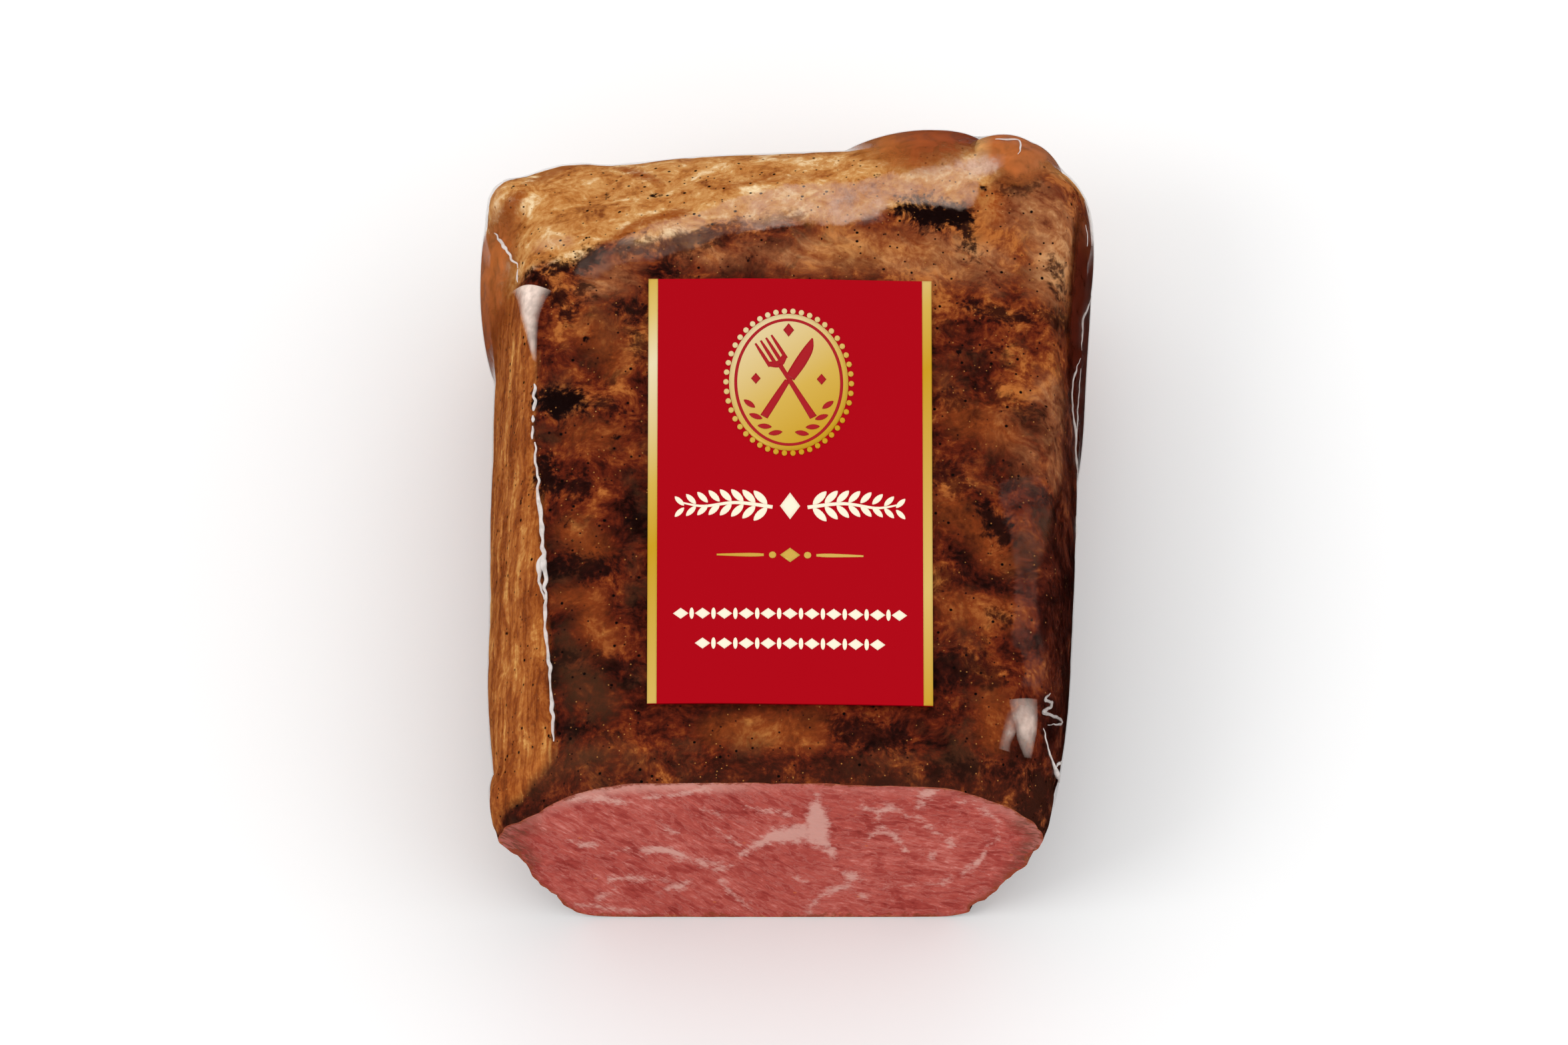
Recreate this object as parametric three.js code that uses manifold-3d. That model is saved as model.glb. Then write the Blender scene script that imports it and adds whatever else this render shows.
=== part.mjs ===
// A block of roast beef in clear shrink film, with its near end cut open and a printed label on top.
// Millimetres, +Z up. The block lies on its flat underside, and its cut face looks along -Y.
// The meat is one convex lump between soft-edged facets, and the film, the pockets of jus and the label
// are all measured off that same lump, so each layer follows the one below it.
import * as THREE from "three";
import { mergeVertices } from "three/addons/utils/BufferGeometryUtils.js";
import Module from "manifold-3d";

const wasm = await Module();
wasm.setup();

// Driving dimensions. X is across the block, Y runs from the cut face to the far end, Z is height.
const HALF_WIDTH = 44.6;
const BLOCK_LENGTH = 112;
const BLOCK_HEIGHT = 48.8;
const WAIST_HEIGHT = 25; // where the sides bulge out furthest
const LAYER_GAP = 0.3; // left between any two pieces that lie on each other
const FILM_THICKNESS = 0.4;
const FILM_EDGE_Y = 7; // the film stops this far from the cut face
const LABEL_WIDTH = 42.3;
const LABEL_LENGTH = 70.3;
const LABEL_THICKNESS = 0.4;
const LABEL_CENTRE = { x: 0.9, y: 47.9 };
const EDGE_SOFTNESS = 0.55; // per millimetre: a higher value makes crisper edges
const FLOOR_SNAP = 0.12; // what lies this close to the underside's plane is laid flat on it
const FILM_LEVEL = 0.35; // how far the film's outside stands off the lump
const FILM_INSIDE = FILM_LEVEL - FILM_THICKNESS;
const MEAT_LEVEL = FILM_INSIDE - LAYER_GAP; // the crust's highest places
const CENTRE = new THREE.Vector3(0, BLOCK_LENGTH / 2, BLOCK_HEIGHT / 2);

const RELIEF = { lumpSize: 13, lumpDepth: 0.7, cragSize: 5.5, cragDepth: 0.75, seed: 41 };

// How many grid steps each body has along X, Y and Z.
const GRID = { x: 20, y: 26, z: 12 };
const LABEL_GRID = { x: 8, y: 12 };

// One facet of the lump: the way it faces, in degrees round from +X towards +Y and up from level,
// and a point that it passes through.
function facet(azimuth, elevation, x, y, z) {
  const turn = THREE.MathUtils.degToRad(azimuth);
  const tilt = THREE.MathUtils.degToRad(elevation);
  const normal = new THREE.Vector3(
    Math.cos(tilt) * Math.cos(turn),
    Math.cos(tilt) * Math.sin(turn),
    Math.sin(tilt),
  );
  return { normal, reach: normal.dot(new THREE.Vector3(x, y, z).sub(CENTRE)) };
}

const FACETS = [
  facet(180, 86.5, -8, 50, BLOCK_HEIGHT), // the crowned top, falling gently to each side
  facet(0, 86, -8, 50, BLOCK_HEIGHT),
  facet(0, -90, 0, 50, FILM_LEVEL), // the underside
  facet(179, 15, -HALF_WIDTH - 0.4, 50, WAIST_HEIGHT + 1), // the left side, above and below the waist
  facet(184, 33, -HALF_WIDTH + 0.1, 10, WAIST_HEIGHT + 6.5),
  facet(179, -20, -HALF_WIDTH - 0.4, 50, WAIST_HEIGHT - 1),
  facet(-1.9, 13, HALF_WIDTH - 0.7, 30, WAIST_HEIGHT + 1), // the right side, which widens to the far end
  facet(-1.9, -20, HALF_WIDTH - 0.7, 30, WAIST_HEIGHT - 1),
  facet(104.5, 55, 0, BLOCK_LENGTH - 14.2, BLOCK_HEIGHT - 1.9), // the slope at the top's far edge
  facet(90, 14, 0, BLOCK_LENGTH, WAIST_HEIGHT + 5), // the far end and its two corners
  facet(90, -22, 0, BLOCK_LENGTH - 1.4, WAIST_HEIGHT - 1),
  facet(48, 16, HALF_WIDTH - 1.7, BLOCK_LENGTH - 5.8, WAIST_HEIGHT + 7),
  facet(127, 21, -41.5, BLOCK_LENGTH - 7, 34),
  facet(212, 40, -38.1, 0, 36.8), // the corners that round off towards the cut
  facet(-28, 40, 34.6, 0, 37.6),
  facet(-16, 0, HALF_WIDTH - 4.4, 0, WAIST_HEIGHT),
  facet(195, -27, -44.2, 0, WAIST_HEIGHT - 1), // the taper under the cut's two ends
  facet(196, -12, -38.3, 0, 10),
  facet(-22, -24, 34.7, 0, 14),
];

// Where jus has gathered between the meat and the film, as a lens on the lump's surface. Each is kept
// inside a box from its low to its high corner, so that neighbours stay apart.
const POCKETS = [
  {
    name: "jus_pocket_far",
    centre: [20.5, BLOCK_LENGTH - 0.4, 36], half: [11.2, 14, 15], depth: 2.9,
    low: [5, 90, 15], high: [29.3, 130, 60],
  },
  {
    name: "jus_pocket_corner",
    centre: [34.7, BLOCK_LENGTH - 4.4, 38], half: [7.6, 10, 12], depth: 2.2,
    low: [29.7, 100.2, 15], high: [60, 130, 60],
  },
  {
    name: "jus_pocket_left",
    centre: [-HALF_WIDTH, 94, 27], half: [12, 17, 15], depth: 2.4,
    low: [-60, 70, 5], high: [-30, 112, 50],
  },
  {
    name: "jus_pocket_right",
    centre: [HALF_WIDTH, 96, 26], half: [10, 36, 17], depth: 1.3,
    low: [33, 50, 5], high: [60, 99.8, 50],
  },
];
const POCKET_FULLNESS = 0.75; // below 1 a lens has a steeper rim and a flatter middle

// How far a point lies outside the lump, as a soft maximum over its facets.
function lumpDistance(point) {
  const past = FACETS.map((side) => side.normal.dot(point) - side.reach - side.normal.dot(CENTRE));
  const most = Math.max(...past);
  const sum = past.reduce((total, one) => total + Math.exp(EDGE_SOFTNESS * (one - most)), 0);
  return most + Math.log(sum) / EDGE_SOFTNESS;
}

// How deep a pocket is at a point: full at its middle and nothing past its half sizes.
function pocketDepth(pocket, point) {
  const along = point.toArray().map((value, axis) => (value - pocket.centre[axis]) / pocket.half[axis]);
  const inside = 1 - along.reduce((total, one) => total + one * one, 0);
  return pocket.depth * Math.max(0, inside) ** POCKET_FULLNESS;
}

// The deepest of all the pockets at a point.
function jusDepth(point) {
  return Math.max(...POCKETS.map((pocket) => pocketDepth(pocket, point)));
}

// A repeatable value from 0 to 1 for each corner of a unit lattice.
function latticeValue(i, j, k) {
  const mixed = Math.sin(i * 127.1 + j * 311.7 + k * 74.7 + RELIEF.seed) * 43758.5453;
  return mixed - Math.floor(mixed);
}

// Smooth noise from 0 to 1 that changes over about one cell of the given size.
function smoothNoise(point, size) {
  const scaled = point.clone().divideScalar(size);
  const base = scaled.clone().floor();
  const part = scaled.sub(base).toArray().map((t) => t * t * (3 - 2 * t));
  let total = 0;
  for (let corner = 0; corner < 8; corner += 1) {
    const step = [corner & 1, (corner >> 1) & 1, (corner >> 2) & 1];
    const share = step.reduce((product, one, axis) => product * (one ? part[axis] : 1 - part[axis]), 1);
    total += share * latticeValue(base.x + step[0], base.y + step[1], base.z + step[2]);
  }
  return total;
}

// The crust's hollows and crags, always inwards so that the film clears them.
function crustLevel(point) {
  const crag = Math.abs(2 * smoothNoise(point, RELIEF.cragSize) - 1);
  const hollow = RELIEF.lumpDepth * smoothNoise(point, RELIEF.lumpSize);
  return MEAT_LEVEL - hollow - RELIEF.cragDepth * (1 - crag) ** 3;
}

// The distance along a ray from the centre at which the lump, raised by level(point), is reached.
function reachAlong(direction, level) {
  const point = new THREE.Vector3();
  let near = 0;
  let far = 2 * BLOCK_LENGTH;
  for (let step = 0; step < 32; step += 1) {
    const middle = (near + far) / 2;
    point.copy(direction).multiplyScalar(middle).add(CENTRE);
    if (lumpDistance(point) > level(point)) far = middle;
    else near = middle;
  }
  return near;
}

// Moves a grid value from -1 to 1 so that the steps are closer at the two ends, where edges are round.
function closerAtEnds(value) {
  return 0.5 * value + 0.5 * Math.sin((value * Math.PI) / 2);
}

// A closed body whose surface stands at level(point) off the lump. It runs on past the cut's plane.
function bodyAtLevel(level) {
  const box = new THREE.BoxGeometry(2, 2, 2, GRID.x, GRID.y, GRID.z);
  box.deleteAttribute("normal");
  box.deleteAttribute("uv");
  const body = mergeVertices(box);
  const places = body.getAttribute("position");
  const direction = new THREE.Vector3();
  for (let i = 0; i < places.count; i += 1) {
    direction.fromBufferAttribute(places, i);
    direction.set(...direction.toArray().map(closerAtEnds));
    direction.multiply(new THREE.Vector3(HALF_WIDTH, BLOCK_LENGTH / 2, BLOCK_HEIGHT / 2)).normalize();
    direction.multiplyScalar(reachAlong(direction, level)).add(CENTRE);
    places.setXYZ(i, ...direction.toArray());
  }
  return body;
}

// Lays what is nearly on a level plane flat on it, so that the block rests on a true flat face.
function laidFlat(body, height) {
  const places = body.getAttribute("position");
  for (let i = 0; i < places.count; i += 1) {
    if (places.getZ(i) < height + FLOOR_SNAP) places.setZ(i, height);
  }
  return body;
}

function solidOf(geometry) {
  const triVerts = new Uint32Array(geometry.index.array);
  const vertProperties = new Float32Array(geometry.getAttribute("position").array);
  return new wasm.Manifold(new wasm.Mesh({ numProp: 3, vertProperties, triVerts }));
}

function geometryOf(solid) {
  const mesh = solid.getMesh();
  const geometry = new THREE.BufferGeometry();
  geometry.setAttribute("position", new THREE.BufferAttribute(mesh.vertProperties, 3));
  geometry.setIndex(new THREE.BufferAttribute(mesh.triVerts, 1));
  return geometry;
}

function boxSolid(size, centre) {
  const box = new THREE.BoxGeometry(...size);
  box.deleteAttribute("normal");
  box.deleteAttribute("uv");
  box.translate(...centre);
  return solidOf(mergeVertices(box));
}

// Everything past one plane across the block.
function everythingBeyond(y) {
  const size = 3 * BLOCK_LENGTH;
  return boxSolid([size, size, size], [0, y + size / 2, 0]);
}

// The largest body of a solid, without the slivers that a cut can leave at a lens's rim.
function mainBody(solid) {
  return solid.decompose().reduce((most, one) => (one.volume() > most.volume() ? one : most));
}

function meat() {
  const lump = laidFlat(bodyAtLevel(crustLevel), FILM_THICKNESS + LAYER_GAP);
  return geometryOf(solidOf(lump).intersect(everythingBeyond(0)));
}

function film() {
  const inside = laidFlat(bodyAtLevel((point) => FILM_INSIDE + jusDepth(point)), FILM_THICKNESS);
  const outside = laidFlat(bodyAtLevel((point) => FILM_LEVEL + jusDepth(point)), 0);
  return geometryOf(solidOf(outside).subtract(solidOf(inside)).intersect(everythingBeyond(FILM_EDGE_Y)));
}

// A lens of jus: what stands above the meat's clearance, out to the film's.
function jusPocket(pocket) {
  const lens = solidOf(bodyAtLevel((point) => MEAT_LEVEL + pocketDepth(pocket, point)));
  const clearOfMeat = solidOf(bodyAtLevel(() => FILM_INSIDE));
  const size = pocket.high.map((high, axis) => high - pocket.low[axis]);
  const reach = boxSolid(size, pocket.high.map((high, axis) => high - size[axis] / 2));
  const clearOfEdge = everythingBeyond(FILM_EDGE_Y + LAYER_GAP);
  return geometryOf(mainBody(lens.subtract(clearOfMeat).intersect(reach).intersect(clearOfEdge)));
}

// The height of the film's outside above a point of the plan.
function filmHeight(x, y) {
  const point = new THREE.Vector3(x, y, 0);
  let low = CENTRE.z;
  let high = 2 * BLOCK_HEIGHT;
  for (let step = 0; step < 32; step += 1) {
    point.z = (low + high) / 2;
    if (lumpDistance(point) > FILM_LEVEL) high = point.z;
    else low = point.z;
  }
  return low;
}

// A thin plate that follows the film under it.
function label() {
  const plate = new THREE.BoxGeometry(LABEL_WIDTH, LABEL_LENGTH, 1, LABEL_GRID.x, LABEL_GRID.y, 1);
  plate.deleteAttribute("normal");
  plate.deleteAttribute("uv");
  const merged = mergeVertices(plate);
  const places = merged.getAttribute("position");
  for (let i = 0; i < places.count; i += 1) {
    const x = places.getX(i) + LABEL_CENTRE.x;
    const y = places.getY(i) + LABEL_CENTRE.y;
    const rise = LAYER_GAP + (places.getZ(i) > 0 ? LABEL_THICKNESS : 0);
    places.setXYZ(i, x, y, filmHeight(x, y) + rise);
  }
  return merged;
}

const BEEF_CRUST = new THREE.MeshStandardMaterial({ color: "#6e3219", roughness: 0.45, metalness: 0 });
const CLEAR_FILM = new THREE.MeshStandardMaterial({ color: "#e6dcd2", roughness: 0.12, metalness: 0 });
const SET_JUS = new THREE.MeshStandardMaterial({ color: "#6b2a18", roughness: 0.2, metalness: 0 });
const LABEL_PAPER = new THREE.MeshStandardMaterial({ color: "#b60014", roughness: 0.35, metalness: 0 });

function piece(name, geometry, material) {
  const mesh = new THREE.Mesh(geometry, material);
  mesh.name = name;
  return mesh;
}

const pack = new THREE.Group();
pack.add(piece("roast_beef", meat(), BEEF_CRUST));
pack.add(piece("shrink_film", film(), CLEAR_FILM));
for (const pocket of POCKETS) pack.add(piece(pocket.name, jusPocket(pocket), SET_JUS));
pack.add(piece("label", label(), LABEL_PAPER));

// The part's origin is the middle of its base.
const bounds = new THREE.Box3().setFromObject(pack);
const middle = bounds.getCenter(new THREE.Vector3());
pack.position.set(-middle.x, -middle.y, -bounds.min.z);

export default pack;
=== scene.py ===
# Looks for a block of roast beef in clear shrink film, with one end cut open and a printed label on top.
# Every piece is worked out in the block's own frame, in millimetres: x across the block, y from the cut
# to the far end and z up from the floor. onePiece() turns that into the frame's metres.
import math

import bpy
import numpy as np
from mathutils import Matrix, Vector


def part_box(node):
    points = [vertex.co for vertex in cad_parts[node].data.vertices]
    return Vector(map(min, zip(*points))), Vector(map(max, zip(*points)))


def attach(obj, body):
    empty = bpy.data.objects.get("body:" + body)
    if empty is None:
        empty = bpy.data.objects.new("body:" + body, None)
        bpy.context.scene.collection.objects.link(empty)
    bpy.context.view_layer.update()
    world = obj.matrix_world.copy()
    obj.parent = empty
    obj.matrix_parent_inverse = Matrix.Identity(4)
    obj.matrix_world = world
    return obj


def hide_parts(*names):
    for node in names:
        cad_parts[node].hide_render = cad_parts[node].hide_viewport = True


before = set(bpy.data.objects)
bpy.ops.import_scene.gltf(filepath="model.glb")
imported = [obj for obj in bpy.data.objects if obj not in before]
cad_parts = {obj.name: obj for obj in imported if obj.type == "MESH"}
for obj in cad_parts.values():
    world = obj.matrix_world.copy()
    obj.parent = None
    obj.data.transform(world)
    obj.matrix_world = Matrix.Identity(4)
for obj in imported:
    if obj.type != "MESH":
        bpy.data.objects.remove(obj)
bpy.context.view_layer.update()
print("frame loaded,", len(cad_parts), "nodes")

mm = 0.001
block = {
    "halfWidth": 44.6, "length": 112.0, "height": 48.8, "waist": 25.0,
    "softness": 0.55,       # per mm, a higher value makes crisper edges
    "filmLevel": 0.35,      # the film's outside above the lump
    "filmEdge": 7.0,        # the film starts this far from the cut
    "axisHeight": 24.4,
    "labelCentre": (0.9, 47.9), "labelSize": (42.3, 70.3),
    # where the outside bulges: centre, half sizes and height
    "bulges": [((-44, 2.5, 28), (6, 8, 10), 1.5), ((-39, 107, 37), (13, 10, 11), 1.7),
               ((-10, 112, 38), (34, 8, 10), 0.45), ((43, 98, 38), (8.5, 16, 12), 1.35),
               ((-42.5, 104.5, 40), (6, 6, 9), 1.2)],
}

# The label's middle is known in both frames, so it gives the shift from one to the other.
labelLow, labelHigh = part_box("label")
shift = np.array([
    (labelLow.x + labelHigh.x) / 2 - block["labelCentre"][0] * mm,
    (labelLow.y + labelHigh.y) / 2 - block["labelCentre"][1] * mm,
    0.0,
])


# The lump: a soft maximum over facets. Each has the way it faces, in degrees round from +x and up
# from level, and a point that it passes through.
def facetRows(halfWidth, length, height, waist, filmLevel):
    return [
        (180, 86.5, -8, 50, height), (0, 86, -8, 50, height), (0, -90, 0, 50, filmLevel),
        (179, 15, -halfWidth - 0.4, 50, waist + 1), (184, 33, -halfWidth + 0.1, 10, waist + 6.5),
        (179, -20, -halfWidth - 0.4, 50, waist - 1), (-1.9, 13, halfWidth - 0.7, 30, waist + 1),
        (-1.9, -20, halfWidth - 0.7, 30, waist - 1), (104.5, 55, 0, length - 14.2, height - 1.9),
        (90, 14, 0, length, waist + 5), (90, -22, 0, length - 1.4, waist - 1),
        (48, 16, halfWidth - 1.7, length - 5.8, waist + 7), (127, 21, -41.5, length - 7, 34),
        (212, 40, -38.1, 0, 36.8), (-28, 40, 34.6, 0, 37.6), (-16, 0, halfWidth - 4.4, 0, waist),
        (195, -27, -44.2, 0, waist - 1), (196, -12, -38.3, 0, 10), (-22, -24, 34.7, 0, 14),
    ]


facets = np.array(facetRows(*(block[key] for key in ("halfWidth", "length", "height", "waist", "filmLevel"))))
turn, tilt = np.radians(facets[:, 0]), np.radians(facets[:, 1])
facetNormals = np.stack([np.cos(tilt) * np.cos(turn), np.cos(tilt) * np.sin(turn), np.sin(tilt)], -1)
facetReach = (facetNormals * facets[:, 2:]).sum(1)

# Where jus has gathered under the film: centre, half sizes, depth and how much deeper it is on its right.
pockets = {
    "far": ((20.5, block["length"] - 0.4, 36), (11.2, 14, 15), 2.9, 0.3),
    "corner": ((34.7, block["length"] - 4.4, 38), (7.6, 10, 12), 2.6, 0.0),
    "left": ((-block["halfWidth"], 94, 27), (12, 17, 15), 2.4, 0.0),
    "right": ((block["halfWidth"], 96, 26), (10, 36, 17), 1.3, 0.0),
}


# How far points lie outside the lump: log(sum(exp(k d))) / k over the distances d past each facet.
def lumpDistance(points):
    past = points @ facetNormals.T - facetReach
    most = past.max(-1)
    return most + np.log(np.exp(block["softness"] * (past - most[..., None])).sum(-1)) / block["softness"]


# A lens of jus: depth times (1 - r squared) to the power 0.75, r being 1 at the half sizes, and a lean in x.
def pocketDepth(points, name):
    centre, half, depth, lean = pockets[name]
    apart = (points - np.array(centre)) / np.array(half)
    inside = 1 - (apart ** 2).sum(-1)
    return depth * (1 + lean * np.clip(apart[..., 0], -1, 1)) * np.clip(inside, 0, 1) ** 0.75


def jusDepth(points):
    return np.max([pocketDepth(points, name) for name in pockets], axis=0)


# Repeatable noise from 0 to 1 over cells of the given size: smooth blends of the cell corners' values.
def smoothNoise(points, size, seed=41):
    scaled = points / np.array(size, float)
    base = np.floor(scaled)
    part = scaled - base
    part = part * part * (3 - 2 * part)
    total = np.zeros(points.shape[:-1])
    for corner in range(8):
        step = np.array([corner & 1, (corner >> 1) & 1, (corner >> 2) & 1])
        share = np.where(step, part, 1 - part).prod(-1)
        mixed = np.sin((base + step) @ np.array([127.1, 311.7, 74.7]) + seed) * 43758.5453
        total += share * (mixed - np.floor(mixed))
    return total


# The film's outside off the lump where no jus lies: flat underneath, gently waved elsewhere, with bulges
# of height times (1 - r squared) to the power 0.75.
def filmRise(points):
    above = np.clip((points[..., 2] - 1) / 6, 0, 1)
    waves = 0.07 - 0.35 * smoothNoise(points, 13) - 0.12 * smoothNoise(points, (7, 9, 7), seed=31)
    raised = block["filmLevel"] + above * waves
    for centre, half, height in block["bulges"]:
        raised += height * np.clip(1 - (((points - np.array(centre)) / np.array(half)) ** 2).sum(-1), 0, 1) ** 0.75
    return raised


# The film's outside, raised over the jus.
def skinLevel(points):
    return filmRise(points) + jusDepth(points)


# Where rays meet the lump raised by level(points), found by halving the stretch that holds it.
def reachAlong(origins, directions, level):
    near = np.zeros(origins.shape[:-1])
    far = np.full(origins.shape[:-1], 2 * block["length"])
    for _ in range(26):
        middle = (near + far) / 2
        points = origins + directions * middle[..., None]
        outside = lumpDistance(points) > level(points)
        far = np.where(outside, middle, far)
        near = np.where(outside, near, middle)
    return origins + directions * near[..., None]


# The lump's outward direction, from its distance's slope along each axis.
def surfaceNormal(points):
    step = 0.05
    slope = np.stack([
        lumpDistance(points + step * axis) - lumpDistance(points - step * axis) for axis in np.eye(3)
    ], -1)
    return slope / np.linalg.norm(slope, axis=-1, keepdims=True)


# Angles round the block from its right waist, over the top, whose rays meet its middle at even steps.
def sectionAngles(columns):
    fine = np.linspace(0, 2 * np.pi, 2001)
    ray = np.stack([np.cos(fine), 0 * fine, np.sin(fine)], -1)
    origin = np.array([0, block["length"] / 2, block["axisHeight"]]) + 0 * ray
    outline = reachAlong(origin, ray, lambda points: 0)
    run = np.concatenate([[0], np.cumsum(np.linalg.norm(np.diff(outline, axis=0), axis=1))])
    half = np.interp(np.pi, fine, run)
    wanted = np.concatenate([
        np.linspace(0, half, columns // 2, endpoint=False),
        np.linspace(half, run[-1], columns // 2, endpoint=False),
    ])
    return np.interp(wanted, run, fine)


# Rays that wrap the block: straight out from its axis up to near the far end, then fanned onto its pole.
def wrapRays(start, rows, endRows, columns):
    turnAt = block["length"] - 16
    angles = sectionAngles(columns)
    along = np.concatenate([np.linspace(start, turnAt, rows, endpoint=False), np.full(endRows + 1, turnAt)])
    fan = np.concatenate([np.zeros(rows), np.linspace(0, np.pi / 2, endRows + 1)])
    origins = np.zeros((len(along), columns, 3))
    origins[..., 1] = along[:, None]
    origins[..., 2] = block["axisHeight"]
    directions = np.stack([
        np.cos(fan)[:, None] * np.cos(angles), np.sin(fan)[:, None] + 0 * angles,
        np.cos(fan)[:, None] * np.sin(angles),
    ], -1)
    return origins, directions


# The height of the film's outside over points of the plan.
def filmTop(x, y):
    up = np.stack([0 * x, 0 * x, 0 * x + 1], -1)
    return reachAlong(np.stack([x, y, 0 * x + block["axisHeight"]], -1), up, skinLevel)[..., 2]


# Distance to a line through (x, y, half width) points, less its half width there.
def strokeField(x, y, stroke):
    field = np.full(x.shape, 1e3)
    for (ax, ay, aw), (bx, by, bw) in zip(stroke, stroke[1:]):
        dx, dy = bx - ax, by - ay
        along = np.clip(((x - ax) * dx + (y - ay) * dy) / (dx * dx + dy * dy), 0, 1)
        away = np.hypot(x - ax - along * dx, y - ay - along * dy)
        field = np.minimum(field, away - (aw + (bw - aw) * along))
    return field


# Distance to a closed outline of (x, y) corners, below zero inside it.
def outlineField(x, y, corners):
    away = np.full(x.shape, 1e3)
    inside = np.zeros(x.shape, bool)
    for (ax, ay), (bx, by) in zip(corners, corners[1:] + corners[:1]):
        away = np.minimum(away, strokeField(x, y, [(ax, ay, 0), (bx, by, 0)]))
        crossed = (ay > y) != (by > y)
        inside ^= crossed & (x < (bx - ax) * (y - ay) / (by - ay + 1e-12) + ax)
    return np.where(inside, -away, away)


# The field of the nearest of several (amount, stroke or outline) shapes, and that shape's amount.
def nearestShape(x, y, shapes):
    field, amount = np.full(x.shape, 1e3), np.zeros(x.shape)
    for strength, shape in shapes:
        own = (strokeField if len(shape[0]) == 3 else outlineField)(x, y, shape)
        amount = np.where(own < field, strength, amount)
        field = np.minimum(field, own)
    return field, amount


# Meshes
# Puts points in the block's millimetres and faces of 3 or 4 corners into a mesh object that rides.
def onePiece(name, points, faces, materials, body="root", attributes=None, faceMaterials=None, crease=None):
    corners = np.concatenate([np.asarray(group).ravel() for group in faces])
    sizes = np.concatenate([np.full(len(group), np.asarray(group).shape[1]) for group in faces])
    starts = np.concatenate([[0], np.cumsum(sizes)[:-1]])
    mesh = bpy.data.meshes.new(name)
    mesh.vertices.add(len(points))
    mesh.vertices.foreach_set("co", (points * mm + shift).astype(np.float32).ravel())
    mesh.loops.add(len(corners))
    mesh.loops.foreach_set("vertex_index", corners.astype(np.int32))
    mesh.polygons.add(len(sizes))
    mesh.polygons.foreach_set("loop_start", starts.astype(np.int32))
    mesh.polygons.foreach_set("use_smooth", np.ones(len(sizes), bool))
    if faceMaterials is not None:
        mesh.polygons.foreach_set("material_index", faceMaterials.astype(np.int32))
    mesh.update(calc_edges=True)
    mesh.validate()
    for key, values in (attributes or {}).items():
        layer = mesh.attributes.new(key, "FLOAT", "POINT")
        layer.data.foreach_set("value", values.astype(np.float32).ravel())
    if crease is not None:
        mesh.set_sharp_from_angle(angle=math.radians(crease))
    for material in materials:
        mesh.materials.append(material)
    piece = bpy.data.objects.new(name, mesh)
    bpy.context.scene.collection.objects.link(piece)
    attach(piece, body)
    return piece


# The faces with their corners in the order that points outwards: a closed mesh then has volume above zero.
def turnedOut(points, faces):
    volume = 0.0
    for group in faces:
        group = np.asarray(group)
        for k in range(1, group.shape[1] - 1):
            a, b, c = points[group[:, 0]], points[group[:, k]], points[group[:, k + 1]]
            volume += (a * np.cross(b, c)).sum()
    return [np.asarray(group)[:, ::-1] if volume < 0 else np.asarray(group) for group in faces]


# Quads between the rows of a grid of points, joined round from the last column to the first if closed.
def gridFaces(rows, columns, closed=True, first=0):
    i, j = np.meshgrid(np.arange(rows - 1), np.arange(columns if closed else columns - 1), indexing="ij")
    after = (j + 1) % columns
    quads = np.stack([i * columns + j, i * columns + after, (i + 1) * columns + after, (i + 1) * columns + j], -1)
    return quads.reshape(-1, 4) + first


# Triangles from a closed ring of points to one pole.
def fanFaces(ring, pole):
    return np.stack([ring, np.roll(ring, -1), np.full(len(ring), pole)], -1)


# A closed skin between two grids whose first rows are its rim and whose last rows end on a pole.
def shellMesh(outer, inner):
    rows, columns = outer.shape[:2]
    outer, inner = outer[:-1], inner[:-1]
    poles = [outer[-1].mean(0), inner[-1].mean(0)]
    count = (rows - 1) * columns
    points = np.concatenate([outer.reshape(-1, 3), inner.reshape(-1, 3), poles])
    ring = np.arange(columns)
    last = (rows - 2) * columns
    faces = [
        gridFaces(rows - 1, columns), gridFaces(rows - 1, columns, first=count)[:, ::-1],
        np.stack([ring, ring + count, np.roll(ring, -1) + count, np.roll(ring, -1)], -1),
        fanFaces(ring + last, 2 * count), fanFaces(ring + last + count, 2 * count + 1)[:, ::-1],
    ]
    return points, turnedOut(points, faces)


# A closed tube from a grid of sections: its ends meet if it is a loop, and end on a point if not.
def tubeMesh(grid, loop=False):
    rows, columns = grid.shape[:2]
    points = grid.reshape(-1, 3)
    if loop:
        faces = [gridFaces(rows, columns)]
        ring, last = np.arange(columns), (rows - 1) * columns
        faces.append(np.stack([ring + last, np.roll(ring, -1) + last, np.roll(ring, -1), ring], -1))
        return points, turnedOut(points, faces)
    ring, count = np.arange(columns), rows * columns
    points = np.concatenate([points, [grid[0].mean(0), grid[-1].mean(0)]])
    faces = [
        gridFaces(rows, columns), fanFaces(ring, count)[:, ::-1],
        fanFaces(ring + (rows - 1) * columns, count + 1),
    ]
    return points, turnedOut(points, faces)


# Several (points, faces) meshes as one.
def joined(parts):
    points, faces, first = [], [], 0
    for own, groups in parts:
        points.append(own)
        faces += [np.asarray(group) + first for group in groups]
        first += len(own)
    return np.concatenate(points), faces


# Materials
# An sRGB hex value as linear: c / 12.92 below 0.04045, and ((c + 0.055) / 1.055) ^ 2.4 above.
def hexColour(code):
    parts = [int(code[i:i + 2], 16) / 255 for i in (1, 3, 5)]
    return tuple(c / 12.92 if c <= 0.04045 else ((c + 0.055) / 1.055) ** 2.4 for c in parts) + (1.0,)


# A texture scale whose features are that many millimetres across.
def perMetre(size):
    return 1 / (size * mm)


def newMaterial(name):
    material = bpy.data.materials.new(name)
    material.use_nodes = True
    material.node_tree.nodes.clear()
    return material, material.node_tree


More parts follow.
